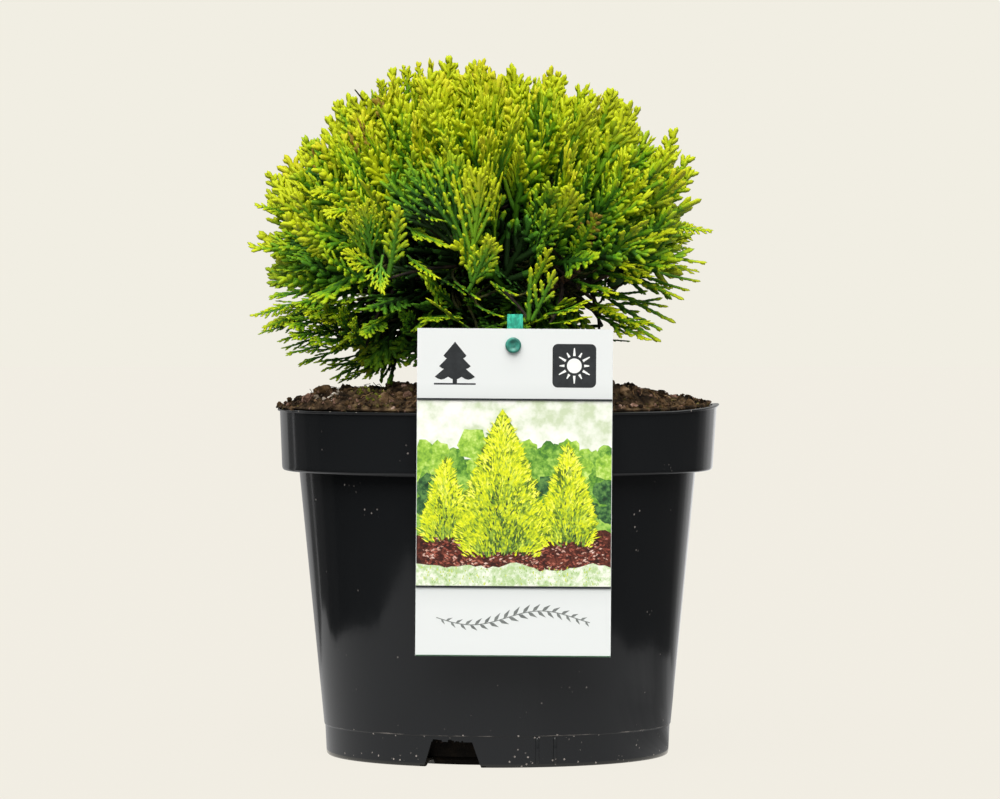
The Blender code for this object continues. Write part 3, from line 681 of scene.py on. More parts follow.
def soil_height(x, y):
    """Height of the heaped soil: level round the trunk, lumpy further out, lower at the rim."""
    radius = hypot(x, y)
    share = min(radius / RIM_TOP_RADIUS, 1.0)
    fall = SOIL_FALL * share**3
    lumps = noise.noise(Vector((x, y, 0.0)) / SOIL_LUMP_SIZE) * SOIL_LUMP
    swell = noise.noise(Vector((x, y, 0.31)) / (4 * SOIL_LUMP_SIZE)) * SOIL_LUMP
    calm = clamped((radius - SOIL_FLAT_RADIUS) / SOIL_CALM)
    return SOIL_TOP_Z - fall + calm * (lumps + swell)


HUMPS = (  # where the heap stands up behind the rim: x, y, half widths, height
    (-0.0690, -0.0380, 0.0150, 0.0300, 0.0036),
    (-0.0480, -0.0500, 0.0110, 0.0160, 0.0012),
    (0.0560, -0.0350, 0.0120, 0.0200, 0.0024),
    (0.0840, -0.0150, 0.0060, 0.0120, 0.0016),
    (0.0200, 0.0640, 0.0300, 0.0140, 0.0026),
    (-0.0500, 0.0560, 0.0200, 0.0160, 0.0024),
)


LUMPS = (  # lumps as big as a fingertip
    (-0.0640, -0.0440), (-0.0745, -0.0330), (-0.0840, -0.0210), (0.0560, -0.0420), (0.0760, -0.0330),
    (-0.0480, -0.0610), (0.0620, 0.0330), (-0.0350, 0.0660), (0.0330, 0.0700), (-0.0760, 0.0300),
)


def humps(x, y):
    """Height that the heap's humps add at a place."""
    total = 0.0
    for middle_x, middle_y, wide, deep, high in HUMPS:
        away = hypot((x - middle_x) / wide, (y - middle_y) / deep)
        total += high * clamped((1.15 - away) / 0.4)
    return total


def soil_spill(angle):
    """How far the soil's edge lies out over the lip at an angle round the pot."""
    towards_left = max(0.0, -cos(angle)) ** 2
    ragged = 0.75 + 0.7 * noise.noise(Vector((5 * cos(angle), 5 * sin(angle), 2.0)))
    return SOIL_SPILL * towards_left * ragged


def rough_height(x, y):
    """The soil's height with clods and crumbs of several sizes, falling away at the rim."""
    place = Vector((x, y, 0.0))
    radius = hypot(x, y)
    clod, crumb, grain = SOIL_RELIEF
    clods = noise.noise(place / clod[0] + Vector((3, 1, 7))) * clod[1] + humps(x, y)
    crumbs = abs(noise.noise(place / crumb[0] + Vector((9, 4, 2)))) * crumb[1]
    grit = noise.noise(place / grain[0]) * grain[1]
    slump = clamped((radius - 0.056) / 0.036) ** 1.3
    slump *= SOIL_SLUMP + SOIL_SLUMP_RIGHT * max(0.0, x) / 0.09
    lifted = LIP_LIFT * lip_bend(x, y) * clamped((radius - 0.060) / 0.030)
    return soil_height(x, y) + clods + crumbs + grit - 0.0012 - slump + lifted


def soil_mesh():
    """A bmesh of the soil: a rough top, and a plain body that fills the pot."""
    gap = 0.0004
    mouth = RIM_TOP_RADIUS - WALL - gap
    angles = circle(360)
    below = [
        (BASE_DISC_RADIUS - 0.0012, WALL + gap),
        (BASE_DISC_RADIUS - 0.0002, BASE_GROOVE + WALL + gap),
        (FOOT_RADIUS - 0.0100, BASE_GROOVE + WALL + gap),
        (0.0735, 0.020),
        (BODY_TOP_RADIUS - WALL - 2 * gap, RIM_FOOT_Z + 0.0005),
        (BODY_TOP_RADIUS - WALL - 2 * gap, RIM_FOOT_Z + WALL + 3 * gap),
        (RIM_FOOT_RADIUS - 0.0030, RIM_FOOT_Z + WALL + 3 * gap),
        (RIM_FOOT_RADIUS - WALL - 2 * gap, RIM_FOOT_Z + 0.0050),
        (mouth - gap, POT_HEIGHT - 0.0014),
        (mouth - gap, POT_HEIGHT + gap),
    ]
    rings = [[polar(r, angle, z) for angle in angles] for r, z in below]
    for inset, rise in ((0.0, 0.0002), (0.0006, 0.0010)):
        z = POT_HEIGHT + gap + rise
        edge = [polar(mouth - inset + soil_spill(angle), angle, z) for angle in angles]
        rings.append([place + UP * LIP_LIFT * lip_bend(place.x, place.y) for place in edge])
    steps = 84
    for k in range(steps):
        radius = 0.0910 - k * (0.0910 - 0.002) / (steps - 1)
        ring = []
        for angle in angles:
            spill = soil_spill(angle) * max(0.0, 1 - k / 9)
            x, y = (radius + spill) * cos(angle), (radius + spill) * sin(angle)
            least = POT_HEIGHT + 0.0008 + LIP_LIFT * lip_bend(x, y) * (radius > 0.086)
            ring.append(Vector((x, y, max(rough_height(x, y), least))))
        rings.append(ring)
    bm = bmesh.new()
    skin_rings(bm, rings)
    return bm


def rock_template(rng, subdivisions):
    """A distorted ball of about unit size, as vertices and triangles."""
    bm = bmesh.new()
    bmesh.ops.create_icosphere(bm, subdivisions=subdivisions, radius=1.0)
    shift = Vector([rng.uniform(0, 99) for _ in range(3)])
    for vert in bm.verts:
        vert.co *= 1 + 0.45 * noise.noise(vert.co * 1.6 + shift)
    verts = np.array([vert.co[:] for vert in bm.verts])
    faces = np.array([[v.index for v in face.verts] for face in bm.faces])
    bm.free()
    return verts, faces


def random_rotations(rng, count):
    """Random rotation matrices, shape (count, 3, 3)."""
    q = unit(rng.normal(size=(count, 4)))
    w, x, y, z = q.T
    rows = [
        [1 - 2 * (y * y + z * z), 2 * (x * y - z * w), 2 * (x * z + y * w)],
        [2 * (x * y + z * w), 1 - 2 * (x * x + z * z), 2 * (y * z - x * w)],
        [2 * (x * z - y * w), 2 * (y * z + x * w), 1 - 2 * (x * x + y * y)],
    ]
    return np.moveaxis(np.array(rows), 2, 0)


def scatter_on_soil(rng, count, low, high):
    """Places on the soil between two radii, as x, y and height, clear of the stake and trunk."""
    radius = np.sqrt(rng.uniform(low**2, high**2, count))
    angle = rng.random(count) * 2 * pi
    spill = np.array([soil_spill(a) for a in angle])
    radius = radius + spill * np.clip((radius - 0.084) / 0.006, 0, 1)
    x, y = radius * np.cos(angle), radius * np.sin(angle)
    lip = [POT_HEIGHT + 0.0003 + LIP_LIFT * lip_bend(a, b) for a, b in zip(x, y)]
    z = [max(rough_height(a, b), least) for a, b, least in zip(x, y, lip)]
    keep = (np.abs(x - STUD_X) > STAKE_WIDTH) | (y > STAKE_BACK_Y + 0.006)
    keep &= radius > SOIL_FLAT_RADIUS - 0.002
    return np.stack([x, y, np.array(z)], axis=1)[keep]


def crumbs_mesh(name, materials, places, sizes, squash, detail, seed, rise=0.25):
    """Crumbs of peat strewn over the soil, half sunk into it."""
    rng = np.random.default_rng(seed)
    templates = [rock_template(random.Random(seed + k), detail) for k in range(6)]
    verts, faces, indices, base = [], [], [], 0
    for k, (place, turn) in enumerate(zip(places, random_rotations(rng, len(places)))):
        shape, triangles = templates[k % len(templates)]
        size = sizes[0] + (sizes[1] - sizes[0]) * rng.random() ** 3
        stretch = np.array((1.0, rng.uniform(squash, 1.0), rng.uniform(squash, 1.0)))
        verts.append((shape * stretch * size) @ turn.T + place + (0, 0, size * rise))
        faces.append(triangles + base)
        indices.append(np.full(len(triangles), rng.integers(len(materials))))
        base += len(shape)
    verts, faces, indices = (np.concatenate(parts) for parts in (verts, faces, indices))
    obj = mesh_from_arrays(name, verts, [faces], materials, indices)
    obj.data.shade_flat()
    finish_piece(obj, "soil")


def fibre_mesh(name, materials, count, seed):
    """Thin woody fibres and bits of straw that lie in the peat."""
    rng = np.random.default_rng(seed)
    paths, radii, indices = [], [], []
    for place in scatter_on_soil(rng, count, SOIL_FLAT_RADIUS, 0.0905):
        length = rng.uniform(0.003, 0.010)
        heading = rng.uniform(0, 2 * pi)
        bend = rng.uniform(-1.4, 1.4)
        tilt = rng.uniform(-0.10, 0.22)
        points = []
        for t in np.linspace(-0.5, 0.5, 6):
            angle = heading + bend * t
            x = place[0] + cos(angle) * t * length
            y = place[1] + sin(angle) * t * length
            lift = 0.0006 + tilt * (t + 0.5) * length * 0.6
            points.append((x, y, rough_height(x, y) + 0.0004 + lift))
        if max(hypot(x, y) for x, y, _ in points) < 0.0915:
            paths.append(np.array(points))
            radii.append(np.full(6, rng.uniform(0.00009, 0.00024)))
            indices.append(rng.integers(len(materials)))
    verts, quads, tags = tubes(paths, radii, indices, 5)
    finish_piece(mesh_from_arrays(name, verts, quads, materials, tags), "soil")


def tubes(paths, radii, tags, sides):
    """Tubes along paths with tapering radii, closed at both ends: vertices, faces and face tags."""
    verts, quads, ends, quad_tags, end_tags, base = [], [], [], [], [], 0
    cosine, sine = np.cos(circle(sides))[None, :, None], np.sin(circle(sides))[None, :, None]
    around = np.arange(sides)
    for path, radius, tag in zip(paths, radii, tags):
        ahead = unit(np.gradient(path, axis=0))
        guide = np.array((0.0, 0.0, 1.0)) if abs(ahead[0][2]) < 0.9 else np.array((1.0, 0.0, 0.0))
        side = unit(np.cross(ahead, guide))
        up = np.cross(side, ahead)
        ring = side[:, None] * cosine + up[:, None] * sine
        points = path[:, None] + ring * np.asarray(radius)[:, None, None]
        verts += [points.reshape(-1, 3), path[:1], path[-1:]]
        low = (np.arange(len(path) - 1)[:, None] * sides + around).ravel()
        following = low + np.where(low % sides == sides - 1, 1 - sides, 1)
        quads.append(np.stack([low + sides, following + sides, following, low], axis=1) + base)
        quad_tags.append(np.full(len(low), tag))
        for end, start in enumerate((base, base + (len(path) - 1) * sides)):
            centre = np.full(sides, base + len(points) * sides + end)
            fan = np.stack([centre, start + around, start + (around + 1) % sides], axis=1)
            ends.append(fan[:, :: 1 - 2 * end])
            end_tags.append(np.full(sides, tag))
        base += len(points) * sides + 2
    faces = [np.concatenate(quads), np.concatenate(ends)]
    return np.concatenate(verts), faces, np.concatenate(quad_tags + end_tags)


def notch_edges(rng):
    """Places along the broken upper edges of the notches, where crumbs of peat hang."""
    places = []
    for notch in NOTCH_ANGLES:
        for _ in range(26):
            across = rng.uniform(-0.5, 0.5) * NOTCH_TOP_WIDTH / FOOT_RADIUS
            z = NOTCH_HEIGHT + rng.uniform(-0.0004, 0.0003)
            places.append(polar(FOOT_RADIUS - 0.0002, radians(notch) + across, z))
    return np.array(places)


class THUJA_OT_soil(bpy.types.Operator):
    """Makes the heaped potting soil with its crumbs and fibres"""

    bl_idname = "thuja.soil"
    bl_label = "Soil"

    def execute(self, context):
        peats = [moist_peat(name, tones) for name, tones in PEATS]
        plain, dark, brown, rosy, olive, moss, grit, straw, rusty = peats
        soil = mesh_from_bmesh("soil_heap", soil_mesh(), [plain], 180)
        finish_piece(soil, "soil", "soil")
        rng = np.random.default_rng(SEED)
        over = scatter_on_soil(rng, 620, SOIL_FLAT_RADIUS, 0.0895)
        lumps = [dark, brown, plain, rosy]
        crumbs_mesh("soil_clods", lumps, over, (0.0009, 0.0037), 0.55, 2, 21, -0.1)
        places = np.array([(x, y, rough_height(x, y)) for x, y in LUMPS])
        crumbs_mesh("soil_lumps", [brown, plain], places, (0.0030, 0.0044), 0.62, 3, 31, -0.25)
        mixed = [dark, brown, brown, rosy, olive, plain]
        over = scatter_on_soil(rng, 2600, SOIL_FLAT_RADIUS, 0.088)
        crumbs_mesh("soil_crumbs", mixed, over, (0.0004, 0.0013), 0.5, 1, 22)
        edge = scatter_on_soil(rng, 1700, 0.0850, 0.0925)
        crumbs_mesh("soil_edge_crumbs", mixed, edge, (0.0004, 0.0013), 0.5, 1, 24)
        # Bits of grit and moss lie in two small patches.
        near = scatter_on_soil(rng, 6500, 0.050, 0.090)
        for name, x, y, tint, seed in (
            ("soil_grit", -0.0715, -0.0440, grit, 25),
            ("soil_moss", -0.0530, -0.0560, moss, 26),
        ):
            close = np.hypot(near[:, 0] - x, (near[:, 1] - y) * 0.6) < 0.0066
            crumbs_mesh(name, [tint], near[close], (0.0003, 0.0014), 0.5, 1, seed)
        fibre_mesh("soil_fibres", [straw, rusty, brown], 260, 23)
        # These crumbs sit low, where the peat's painted shade makes them near black.
        edges = notch_edges(rng)
        crumbs_mesh("notch_crumbs", [dark, brown, rosy], edges, (0.0002, 0.0007), 0.5, 1, 27, 0)
        return {"FINISHED"}


# ---------------------------------------------------------------- the crown's space


def crown_reach(directions):
    """Distances from the crown's centre to its outline along unit directions, as an array."""
    d = np.atleast_2d(directions)
    flat = np.hypot(d[:, 0], d[:, 1]) / CROWN_RADIUS
    above = d[:, 2] >= 0
    power = np.where(above, *CROWN_POWERS)
    height = np.where(above, CROWN_RISE, CROWN_DROP - CROWN_SKIRT * d[:, 0])
    reach = (flat**power + (np.abs(d[:, 2]) / height) ** power) ** (-1 / power)
    for hollow, half_angle, depth in HOLLOWS:
        cosine = d @ unit(np.array(hollow))
        angle = np.degrees(np.arccos(np.clip(cosine, -1, 1)))
        fade = np.cos(np.pi / 2 * np.clip(angle / half_angle, 0, 1)) ** 2
        reach *= 1 - depth * fade
    return reach


def direction_of(azimuth, elevation):
    """Unit vector from an azimuth round +Z and an elevation, both in degrees."""
    a, e = radians(azimuth), radians(elevation)
    return np.array((cos(a) * cos(e), sin(a) * cos(e), sin(e)))


Mass = namedtuple("Mass", "ring number label centre way")  # way is where its bough points


def plan_masses():
    """The masses of the crown, ring by ring."""
    masses = []
    for ring, count, elevation, first in RINGS:
        for i in range(count):
            direction = direction_of(first + 360 * i / count, elevation)
            centre = CROWN_CENTRE + direction * crown_reach(direction)[0] * MASS_SHARE
            label = ring if count == 1 else f"{ring}_{i + 1}"
            masses.append(Mass(ring, i, label, centre, unit(centre - GROWTH_ORIGIN)))
    return masses


# ---------------------------------------------------------------- limbs


def trunk_at(share):
    """Point on the trunk's axis at a share of its height, from foot to tip."""
    lean = Vector((0.0012, -0.0010, 0.0)) * sin(pi * share)
    return TRUNK_FOOT.lerp(TRUNK_TIP, share) + lean


def curve_points(start, bend, end, count):
    """Points along the quadratic curve from start to end that leans towards bend."""
    t = np.linspace(0, 1, count)[:, None]
    return start * (1 - t) ** 2 + bend * 2 * t * (1 - t) + end * t**2


def bough_path(mass, count):
    """Points of a mass's bough, from inside the trunk to just short of the mass."""
    levels = BOUGH_LEVELS[mass.ring]
    start = np.array(trunk_at(levels[mass.number % len(levels)]))
    end = GROWTH_ORIGIN + mass.way * BOUGH_REACH
    outward = (end - start) * (1, 1, 0)
    if mass.ring == "top":
        start[2] -= 0.002
    else:
        start = start + unit(outward) * BOUGH_ROOT * 0.5
    bend = (start + end) / 2 + outward * BOUGH_ARCH
    return curve_points(start, bend, end, count)


def trunk_ring(share):
    """A ring of the trunk at a share of its height: it flares at its foot and is capped on top."""
    flare = TRUNK_FLARE * (1 - min(share / 0.30, 1.0)) ** 2
    plain = TRUNK_RADIUS[0] + (TRUNK_RADIUS[1] - TRUNK_RADIUS[0]) * share
    cap = 1.0 - 0.25 * max(0.0, (share - 0.9) / 0.1) ** 2
    axis = trunk_at(share)
    ring = []
    for angle in circle(40):
        way = polar(1.0, angle, 0)
        radius = plain + flare * (1 + 0.5 * cos(4 * angle + 0.6))
        ridge = noise.noise(way * 3.2 + UP * axis.z * 60)
        ridge += 0.5 * noise.noise(way * 7 + UP * axis.z * 110)
        ring.append(axis + way * (radius * cap + 0.0006 * ridge - 0.0004))
    return ring


def limb_mesh(masses):
    """Trunk, boughs and the stems that carry the masses, with lengthwise ridges of bark."""
    bm = bmesh.new()
    skin_rings(bm, [trunk_ring(k / 45) for k in range(46)])
    for mass in masses:
        path = bough_path(mass, 22)
        stem = curve_points(path[-1], path[-1] + (mass.centre - path[-1]) * 0.5, mass.centre, 12)[1:]
        radii = np.concatenate([np.linspace(*BOUGH_RADIUS, 22), np.linspace(*STEM_RADIUS, 12)[1:]])
        skin_rings(bm, ridged_tube(np.concatenate([path, stem]), radii, 18))
    return bm


def ridged_tube(points, radii, sides):
    """Rings of a tube whose surface has lengthwise ridges and small knots."""
    rings = []
    ahead = unit(np.gradient(points, axis=0))
    side = unit(np.cross(ahead, np.array((0.31, 0.77, 0.55))))
    up = np.cross(side, ahead)
    for k, point in enumerate(points):
        ring = []
        for angle in circle(sides):
            way = side[k] * cos(angle) + up[k] * sin(angle)
            ridge = noise.noise(polar(2.4, angle, k * 0.22) + Vector(points[0]) * 300)
            ring.append(Vector(point + way * (radii[k] * (1 + 0.16 * ridge))))
        rings.append(ring)
    return rings


class THUJA_OT_limbs(bpy.types.Operator):
    """Makes the trunk and boughs with the relief of their bark"""

    bl_idname = "thuja.limbs"
    bl_label = "Trunk and boughs"

    def execute(self, context):
        masses = plan_masses()
        limbs = mesh_from_bmesh("trunk_and_boughs", limb_mesh(masses), [thuja_bark()], 60)
        finish_piece(limbs, "bark", "trunk", *("bough_" + mass.label for mass in masses))
        return {"FINISHED"}


# ---------------------------------------------------------------- spray templates


class SprayShape:
    """Collects the cords of one spray. It lies in the x-y plane with its foot at the origin."""

    def __init__(self, width, scale_length):
        self.width = width
        self.scale_length = scale_length
        self.verts, self.quads, self.tris, self.quad_tags, self.tri_tags = [], [], [], [], []
        self.base = 0

    def cord(self, path_at, length, thick, tag_at):
        """Adds a flat scaly cord. path_at(s) gives its point, and tag_at(s) its face tag."""
        end = 0.44 * thick * self.width
        stops, widths = [], []
        s, wide = 0.0, False
        while s < length - end - 0.25 * self.scale_length:
            stops.append(s)
            widths.append(1.0 if wide else SCALE_WAIST)
            s += self.scale_length * (0.40 if wide else 0.60)
            wide = not wide
        stops.append(length - end)
        widths.append(0.86)
        points = np.array([path_at(s) for s in stops] + [path_at(length)])
        ahead = unit(np.gradient(points, axis=0))
        side = unit(np.cross((0.0, 0.0, 1.0), ahead))
        up = np.cross(ahead, side)
        swell = 1.06 - 0.20 * np.array(stops) / length
        half = (np.array(widths) * swell * thick * self.width / 2)[:, None]
        depth = half * CORD_FLATNESS
        body, side, up = points[:-1], side[:-1], up[:-1]
        corners = [body + side * half, body + up * depth, body - side * half, body - up * depth]
        rings = np.stack(corners, 1)
        count = len(body)
        self.verts += [rings.reshape(-1, 3), points[-1:]]
        tip = self.base + count * 4
        for k in range(count - 1):
            for i in range(4):
                a, b = self.base + 4 * k + i, self.base + 4 * k + (i + 1) % 4
                self.quads.append((a, b, b + 4, a + 4))
                self.quad_tags.append(tag_at(stops[k]))
        last = self.base + 4 * (count - 1)
        for i in range(4):
            self.tris.append((last + i, last + (i + 1) % 4, tip))
            self.tri_tags.append(tag_at(length))
        self.quads.append((self.base + 3, self.base + 2, self.base + 1, self.base))
        self.quad_tags.append(tag_at(0.0))
        self.base = tip + 1

    def arrays(self):
        """Vertices, quads, triangles and the tags of both."""
        faces = (np.array(part) for part in (self.quads, self.tris, self.quad_tags, self.tri_tags))
        return np.concatenate(self.verts), *faces


SCALE_WAIST = 0.80  # a cord's width between two scales, as a share of its full width
CORD_FLATNESS = 0.42
TIP, NEXT, MIDDLE, FOOT = range(4)
YOUNG_LENGTH = 0.012  # a shoot darkens over this length behind its tip


def age_tag(to_tip, behind):
    """Tag of a place on a cord from its distance to the cord's tip and how far back in the fan."""
    age = to_tip / YOUNG_LENGTH + behind * 0.9
    return TIP if age < 0.50 else NEXT if age < 0.95 else MIDDLE if age < 1.45 else FOOT


def side_path(root, lean, turn_in, side, reach, droop, axis_turn):
    """A curve in the fan's plane that leaves at an angle from the leader and bends forward."""

    def at(s):
        t = s / reach
        angle = axis_turn + side * (lean - turn_in * t / 2)
        return root + np.array((cos(angle) * s, sin(angle) * s, droop * s * t))

    return at


# How the side cords of a spray stand on its leader: the metres between two of them, their degrees
# from the leader at its foot and at its tip, the degrees that they bend forward, their length as a
# share of the leader ahead of them, the metres added to that, the length of the longest cord that
# they carry themselves, or 0 for none, and all the cords' width as a share of the usual.
Habit = namedtuple("Habit", "pitch lean turn reach least nub slim")
FAN = Habit(0.0037, (40, 24), (14, 30), 0.56, 0.0050, 0.0058, 1.0)
FEATHER = Habit(0.0026, (50, 36), (4, 14), 0.22, 0.0040, 0.0058, 1.0)
LONG = Habit(0.0033, (30, 13), (4, 14), 0.72, 0.0050, 0.0029, 0.76)
STRING = Habit(0.0044, (40, 26), (4, 14), 0.07, 0.0030, 0.0, 1.22)
SPARSE = Habit(0.0052, (36, 20), (4, 18), 0.42, 0.0044, 0.0034, 1.0)
PLAIN = Habit(0.0050, (42, 30), (10, 22), 0.50, 0.0050, 0.0, 1.15)


def spray_template(seed, width, scale_length, habit):
    """One spray: a leading cord with alternate side cords, which carry short cords of their own."""
    rng = random.Random(seed)
    length = TEMPLATE_LENGTH
    shape = SprayShape(width * habit.slim, scale_length)
    bend = rng.uniform(-0.20, 0.20)
    arch = rng.uniform(-0.06, 0.16)

    def leader(s):
        t = s / length
        return np.array((s, bend * length * t**2, arch * length * t**2))

    shape.cord(leader, length, 1.05, lambda s: age_tag(length - s, 1 - s / length))
    s = 0.14 * length + rng.uniform(0, habit.pitch)
    side = rng.choice((-1, 1))
    while s < 0.92 * length:
        share = s / length
        reach = (habit.reach * (length - s) + habit.least) * rng.uniform(0.76, 1.16)
        reach *= min(1.0, 0.60 + share * 1.6)
        lean = habit.lean[0] + (habit.lean[1] - habit.lean[0]) * share + rng.uniform(-6, 6)
        lean = radians(lean)
        turn_in = radians(rng.uniform(*habit.turn))
        droop = rng.uniform(-0.12, 0.08)
        turned = bend * 2 * share
        path = side_path(leader(s), lean, turn_in, side, reach, droop, turned)
        shape.cord(path, reach, 0.96, along_tag(path, reach, length))
        if habit.nub and reach > 0.0065:
            course = (lean, turn_in, side, droop, turned)
            add_nubs(shape, rng, path, reach, course, length, habit.nub)
        s += habit.pitch * rng.uniform(0.85, 1.15)
        side = -side
    return shape.arrays()


def along_tag(path, reach, length):
    """Face tags along a side cord."""
    return lambda s: age_tag(reach - s, 1 - path(s)[0] / length)


def add_nubs(shape, rng, path, reach, course, length, longest):
    """Adds the short cords that a side cord carries, mostly on alternate sides."""
    lean, turn_in, side, droop, turned = course
    t = 0.24 * reach + rng.uniform(0, 0.001)
    way = -side if rng.random() < 0.5 else side
    while t < reach - 0.0030:
        small = min(longest, 0.60 * (reach - t) + 0.001) * rng.uniform(0.75, 1.15)
        if small > 0.0022:
            heading = lean - turn_in * t / reach + radians(38) * (1 if way == side else -1)
            nub = side_path(path(t), heading, radians(8), side, small, droop, turned)
            shape.cord(nub, small, 0.86, along_tag(nub, small, length))
        t += rng.uniform(0.0029, 0.0041)
        way = -way


# ---------------------------------------------------------------- placing sprays


# One placed spray: its foot, the axes along it, across it and off its face, its size, the number of
# its palette or -1 for the browned one, and the number of its template.
Spray = namedtuple("Spray", "root axes scale palette template")


def owner_of(masses, point):
    """The mass whose space a point lies in."""
    return max(masses, key=lambda mass: float((point - GROWTH_ORIGIN) @ mass.way))


OPENINGS = (  # where the ground is seen through the crown from the front: x, z and radius
    (-0.0445, 0.1780, 0.0050),
    (-0.0400, 0.1655, 0.0040),
    (-0.0520, 0.1650, 0.0034),
    (-0.0810, 0.1790, 0.0026),
    (0.0610, 0.2010, 0.0036),
    (0.0660, 0.1950, 0.0042),
    (0.0540, 0.1925, 0.0036),
    (0.0700, 0.2060, 0.0040),
)


def in_keep_out(point):
    """True in the room of the label, the stake, the soil and the openings."""
    if any(hypot(point[0] - x, point[2] - z) < radius for x, z, radius in OPENINGS):
        return True
    beside = abs(point[0] - CARD_MIDDLE) < (CARD_HIGH.x - CARD_LOW.x) / 2 + 0.003
    at_label = beside and point[1] < STAKE_BACK_Y + 0.0015 and point[2] < CARD_HIGH.z + 0.006
    return at_label or point[2] < CROWN_FLOOR_Z


FLANK_HANG = (0.9, 1.8)  # how much sprays hang on the crown's left and right flank
UPWARD = 0.34  # how much sprays on the crown's upper side turn up towards the light


def aim_spray(masses, direction, share, length, twist, rng):
    """Foot and axes of a spray whose tip lies on the crown along a direction from its centre."""
    tip = CROWN_CENTRE + direction * crown_reach(direction)[0] * share
    mass = owner_of(masses, tip)
    source = GROWTH_ORIGIN + (mass.centre - GROWTH_ORIGIN) * 0.35
    along = unit(tip - source + rng.normal(size=3) * 0.010)
    along = unit(along + np.array((0, 0, 1)) * UPWARD * max(0.0, direction[2] + 0.25))
    # On the flanks they hang outwards instead.
    hang = clamped((abs(direction[0]) - 0.35) / 0.3)
    hang *= min(max(0.10 - direction[2], 0.0), 0.3)
    along = unit(along - np.array((0, 0, 1)) * hang * FLANK_HANG[int(direction[0] >= 0)])
    level = np.cross(along, (0.0, 0.0, 1.0))
    if np.linalg.norm(level) < 0.30:
        level = np.cross(along, (cos(twist * 3), sin(twist * 3), 0.0))
    level = unit(level)
    steep = np.cross(level, along)
    # The fan stands near a vertical plane, turned by the twist.
    normal = level * cos(twist) + steep * sin(twist)
    return mass, tip - along * length, np.stack([along, np.cross(normal, along), normal])


def palette_for(direction, share, rng):
    """Palette number of a spray: lighter outside and on top, darker inside and below, partly as sunlit
    growth and partly as painted shade.
    """
    height = direction[2]
    score = 2.3 - 1.5 * height - (1.9 * height if height < -0.15 else 0.0) - 0.35 * (height > 0.1)
    score += 11.0 * (0.95 - share) + rng.normal() * 0.9
    # Painted shade: sprays in the hollows get darker palettes.
    score += 3.2 * hollow_fade(direction) * (share < 0.88)
    # Painted shade: the sides away from the light, right of the hollow and low on the left, and a patch
    # high on the front left under its upper fan, get darker palettes.
    score += 1.0 * (direction[0] < -0.45) * (direction[1] < 0.3) * (-0.6 < height < -0.06)
    score += 0.9 * (0.18 < direction[0] < 0.72) * (direction[1] < 0.2) * (-0.1 < height < 0.28)
    score += 1.3 * (-0.50 < direction[0] < -0.30) * (direction[1] < -0.5) * (0.02 < height < 0.38)
    return int(np.clip(round(score), 0, len(PALETTES) - 1))


OUTLINE_STEP = 15  # degrees round the crown as seen from the front, from its right side over the top
OUTLINE_FIT = (
    (0.935, 0.99, 0.995, 0.970, 1.00, 0.99, 0.985, 1.03, 1.00, 0.93, 0.955, 0.975)
    + (0.95, 0.99, 1.03, 1.01, 0.98, 1.0, 1.0, 1.0, 0.98, 1.02, 1.0, 0.955)
)


def outline_fit(direction):
    """Factor that fits the crown's outline near the plane that the camera faces."""
    turn = degrees(atan2(direction[2] * 0.78, direction[0])) % 360 / OUTLINE_STEP
    low = int(turn) % len(OUTLINE_FIT)
    share = turn - int(turn)
    fit = OUTLINE_FIT[low] * (1 - share) + OUTLINE_FIT[(low + 1) % len(OUTLINE_FIT)] * share
    flank = clamped((0.80 - abs(direction[1])) / 0.30)
    return 1 + (fit - 1) * flank


def lobed(direction):
    """The crown's clumps: how far a direction's tips stand out from or behind the rest."""
    return noise.noise(Vector(direction) * 3.4 + Vector((4, 7, 1)))


def hollow_fade(direction):
    """How deep in one of the crown's hollows a direction is, from 0 to 1."""
    fades = []
    for hollow, half_angle, _ in HOLLOWS:
        angle = degrees(acos(float(np.clip(direction @ unit(np.array(hollow)), -1, 1))))
        fades.append(min(1.0, 2 * cos(pi / 2 * min(angle / half_angle, 1)) ** 2))
    return max(fades)


def spray_layer(masses, count, shares, length, templates, seed):
    """Sprays spread evenly over the crown by the golden angle, by mass label."""
    rng = np.random.default_rng(seed)
    golden = pi * (3 - sqrt(5))
    placed = {mass.label: [] for mass in masses}
    outermost = shares[1] > 0.95
    for i in range(count):
        height = 1 - 2 * (i + 0.5) / count
        ring = sqrt(1 - height**2)
        angle = golden * i + seed
        direction = np.array((ring * cos(angle), ring * sin(angle), height))
        direction = unit(direction + rng.normal(size=3) * 0.045)
        share = rng.uniform(*shares) + 0.06 * lobed(direction)
        size = length * rng.uniform(0.80, 1.22)
        twist = rng.normal() * 0.65
        if direction[2] < -0.25:
            twist = pi / 2 + rng.normal() * 0.45
        chance = rng.random()
        if chance < left_out(direction, outermost):
            continue
        if outermost:
            share = share * outline_fit(direction) - 0.08 * hollow_fade(direction)
        for _ in range(4):
            mass, root, axes = aim_spray(masses, direction, share, size, twist, rng)
            ends = [root + axes[0] * size * part for part in (0, 0.25, 0.5, 0.75, 1)]
            ends += [root + axes[0] * size * 0.62 + axes[1] * size * 0.30 * side for side in (-1, 1)]
            clear = not any(in_keep_out(point) for point in ends)
            if clear and np.linalg.norm(root - GROWTH_ORIGIN) > BARE_RADIUS:
                palette = palette_for(direction, share, rng)
                high_left = direction[0] < -0.35 and 0.35 < direction[2] < 0.8
                if rng.random() < (WITHERED_HIGH_LEFT if high_left else WITHERED):
                    palette = -1
                number = int(rng.integers(min(len(templates), 2 * FAMILY)))
                if outermost and direction[0] > 0.42 and -0.5 < direction[2] < 0.30 and number % 8 < 5:
                    number = FAMILIES.index(SPARSE) * FAMILY + number % FAMILY
                scale = size / TEMPLATE_LENGTH
                placed[mass.label].append(Spray(root, axes, scale, palette, number))
                break
            twist += 0.8
            size *= 0.88
    return placed


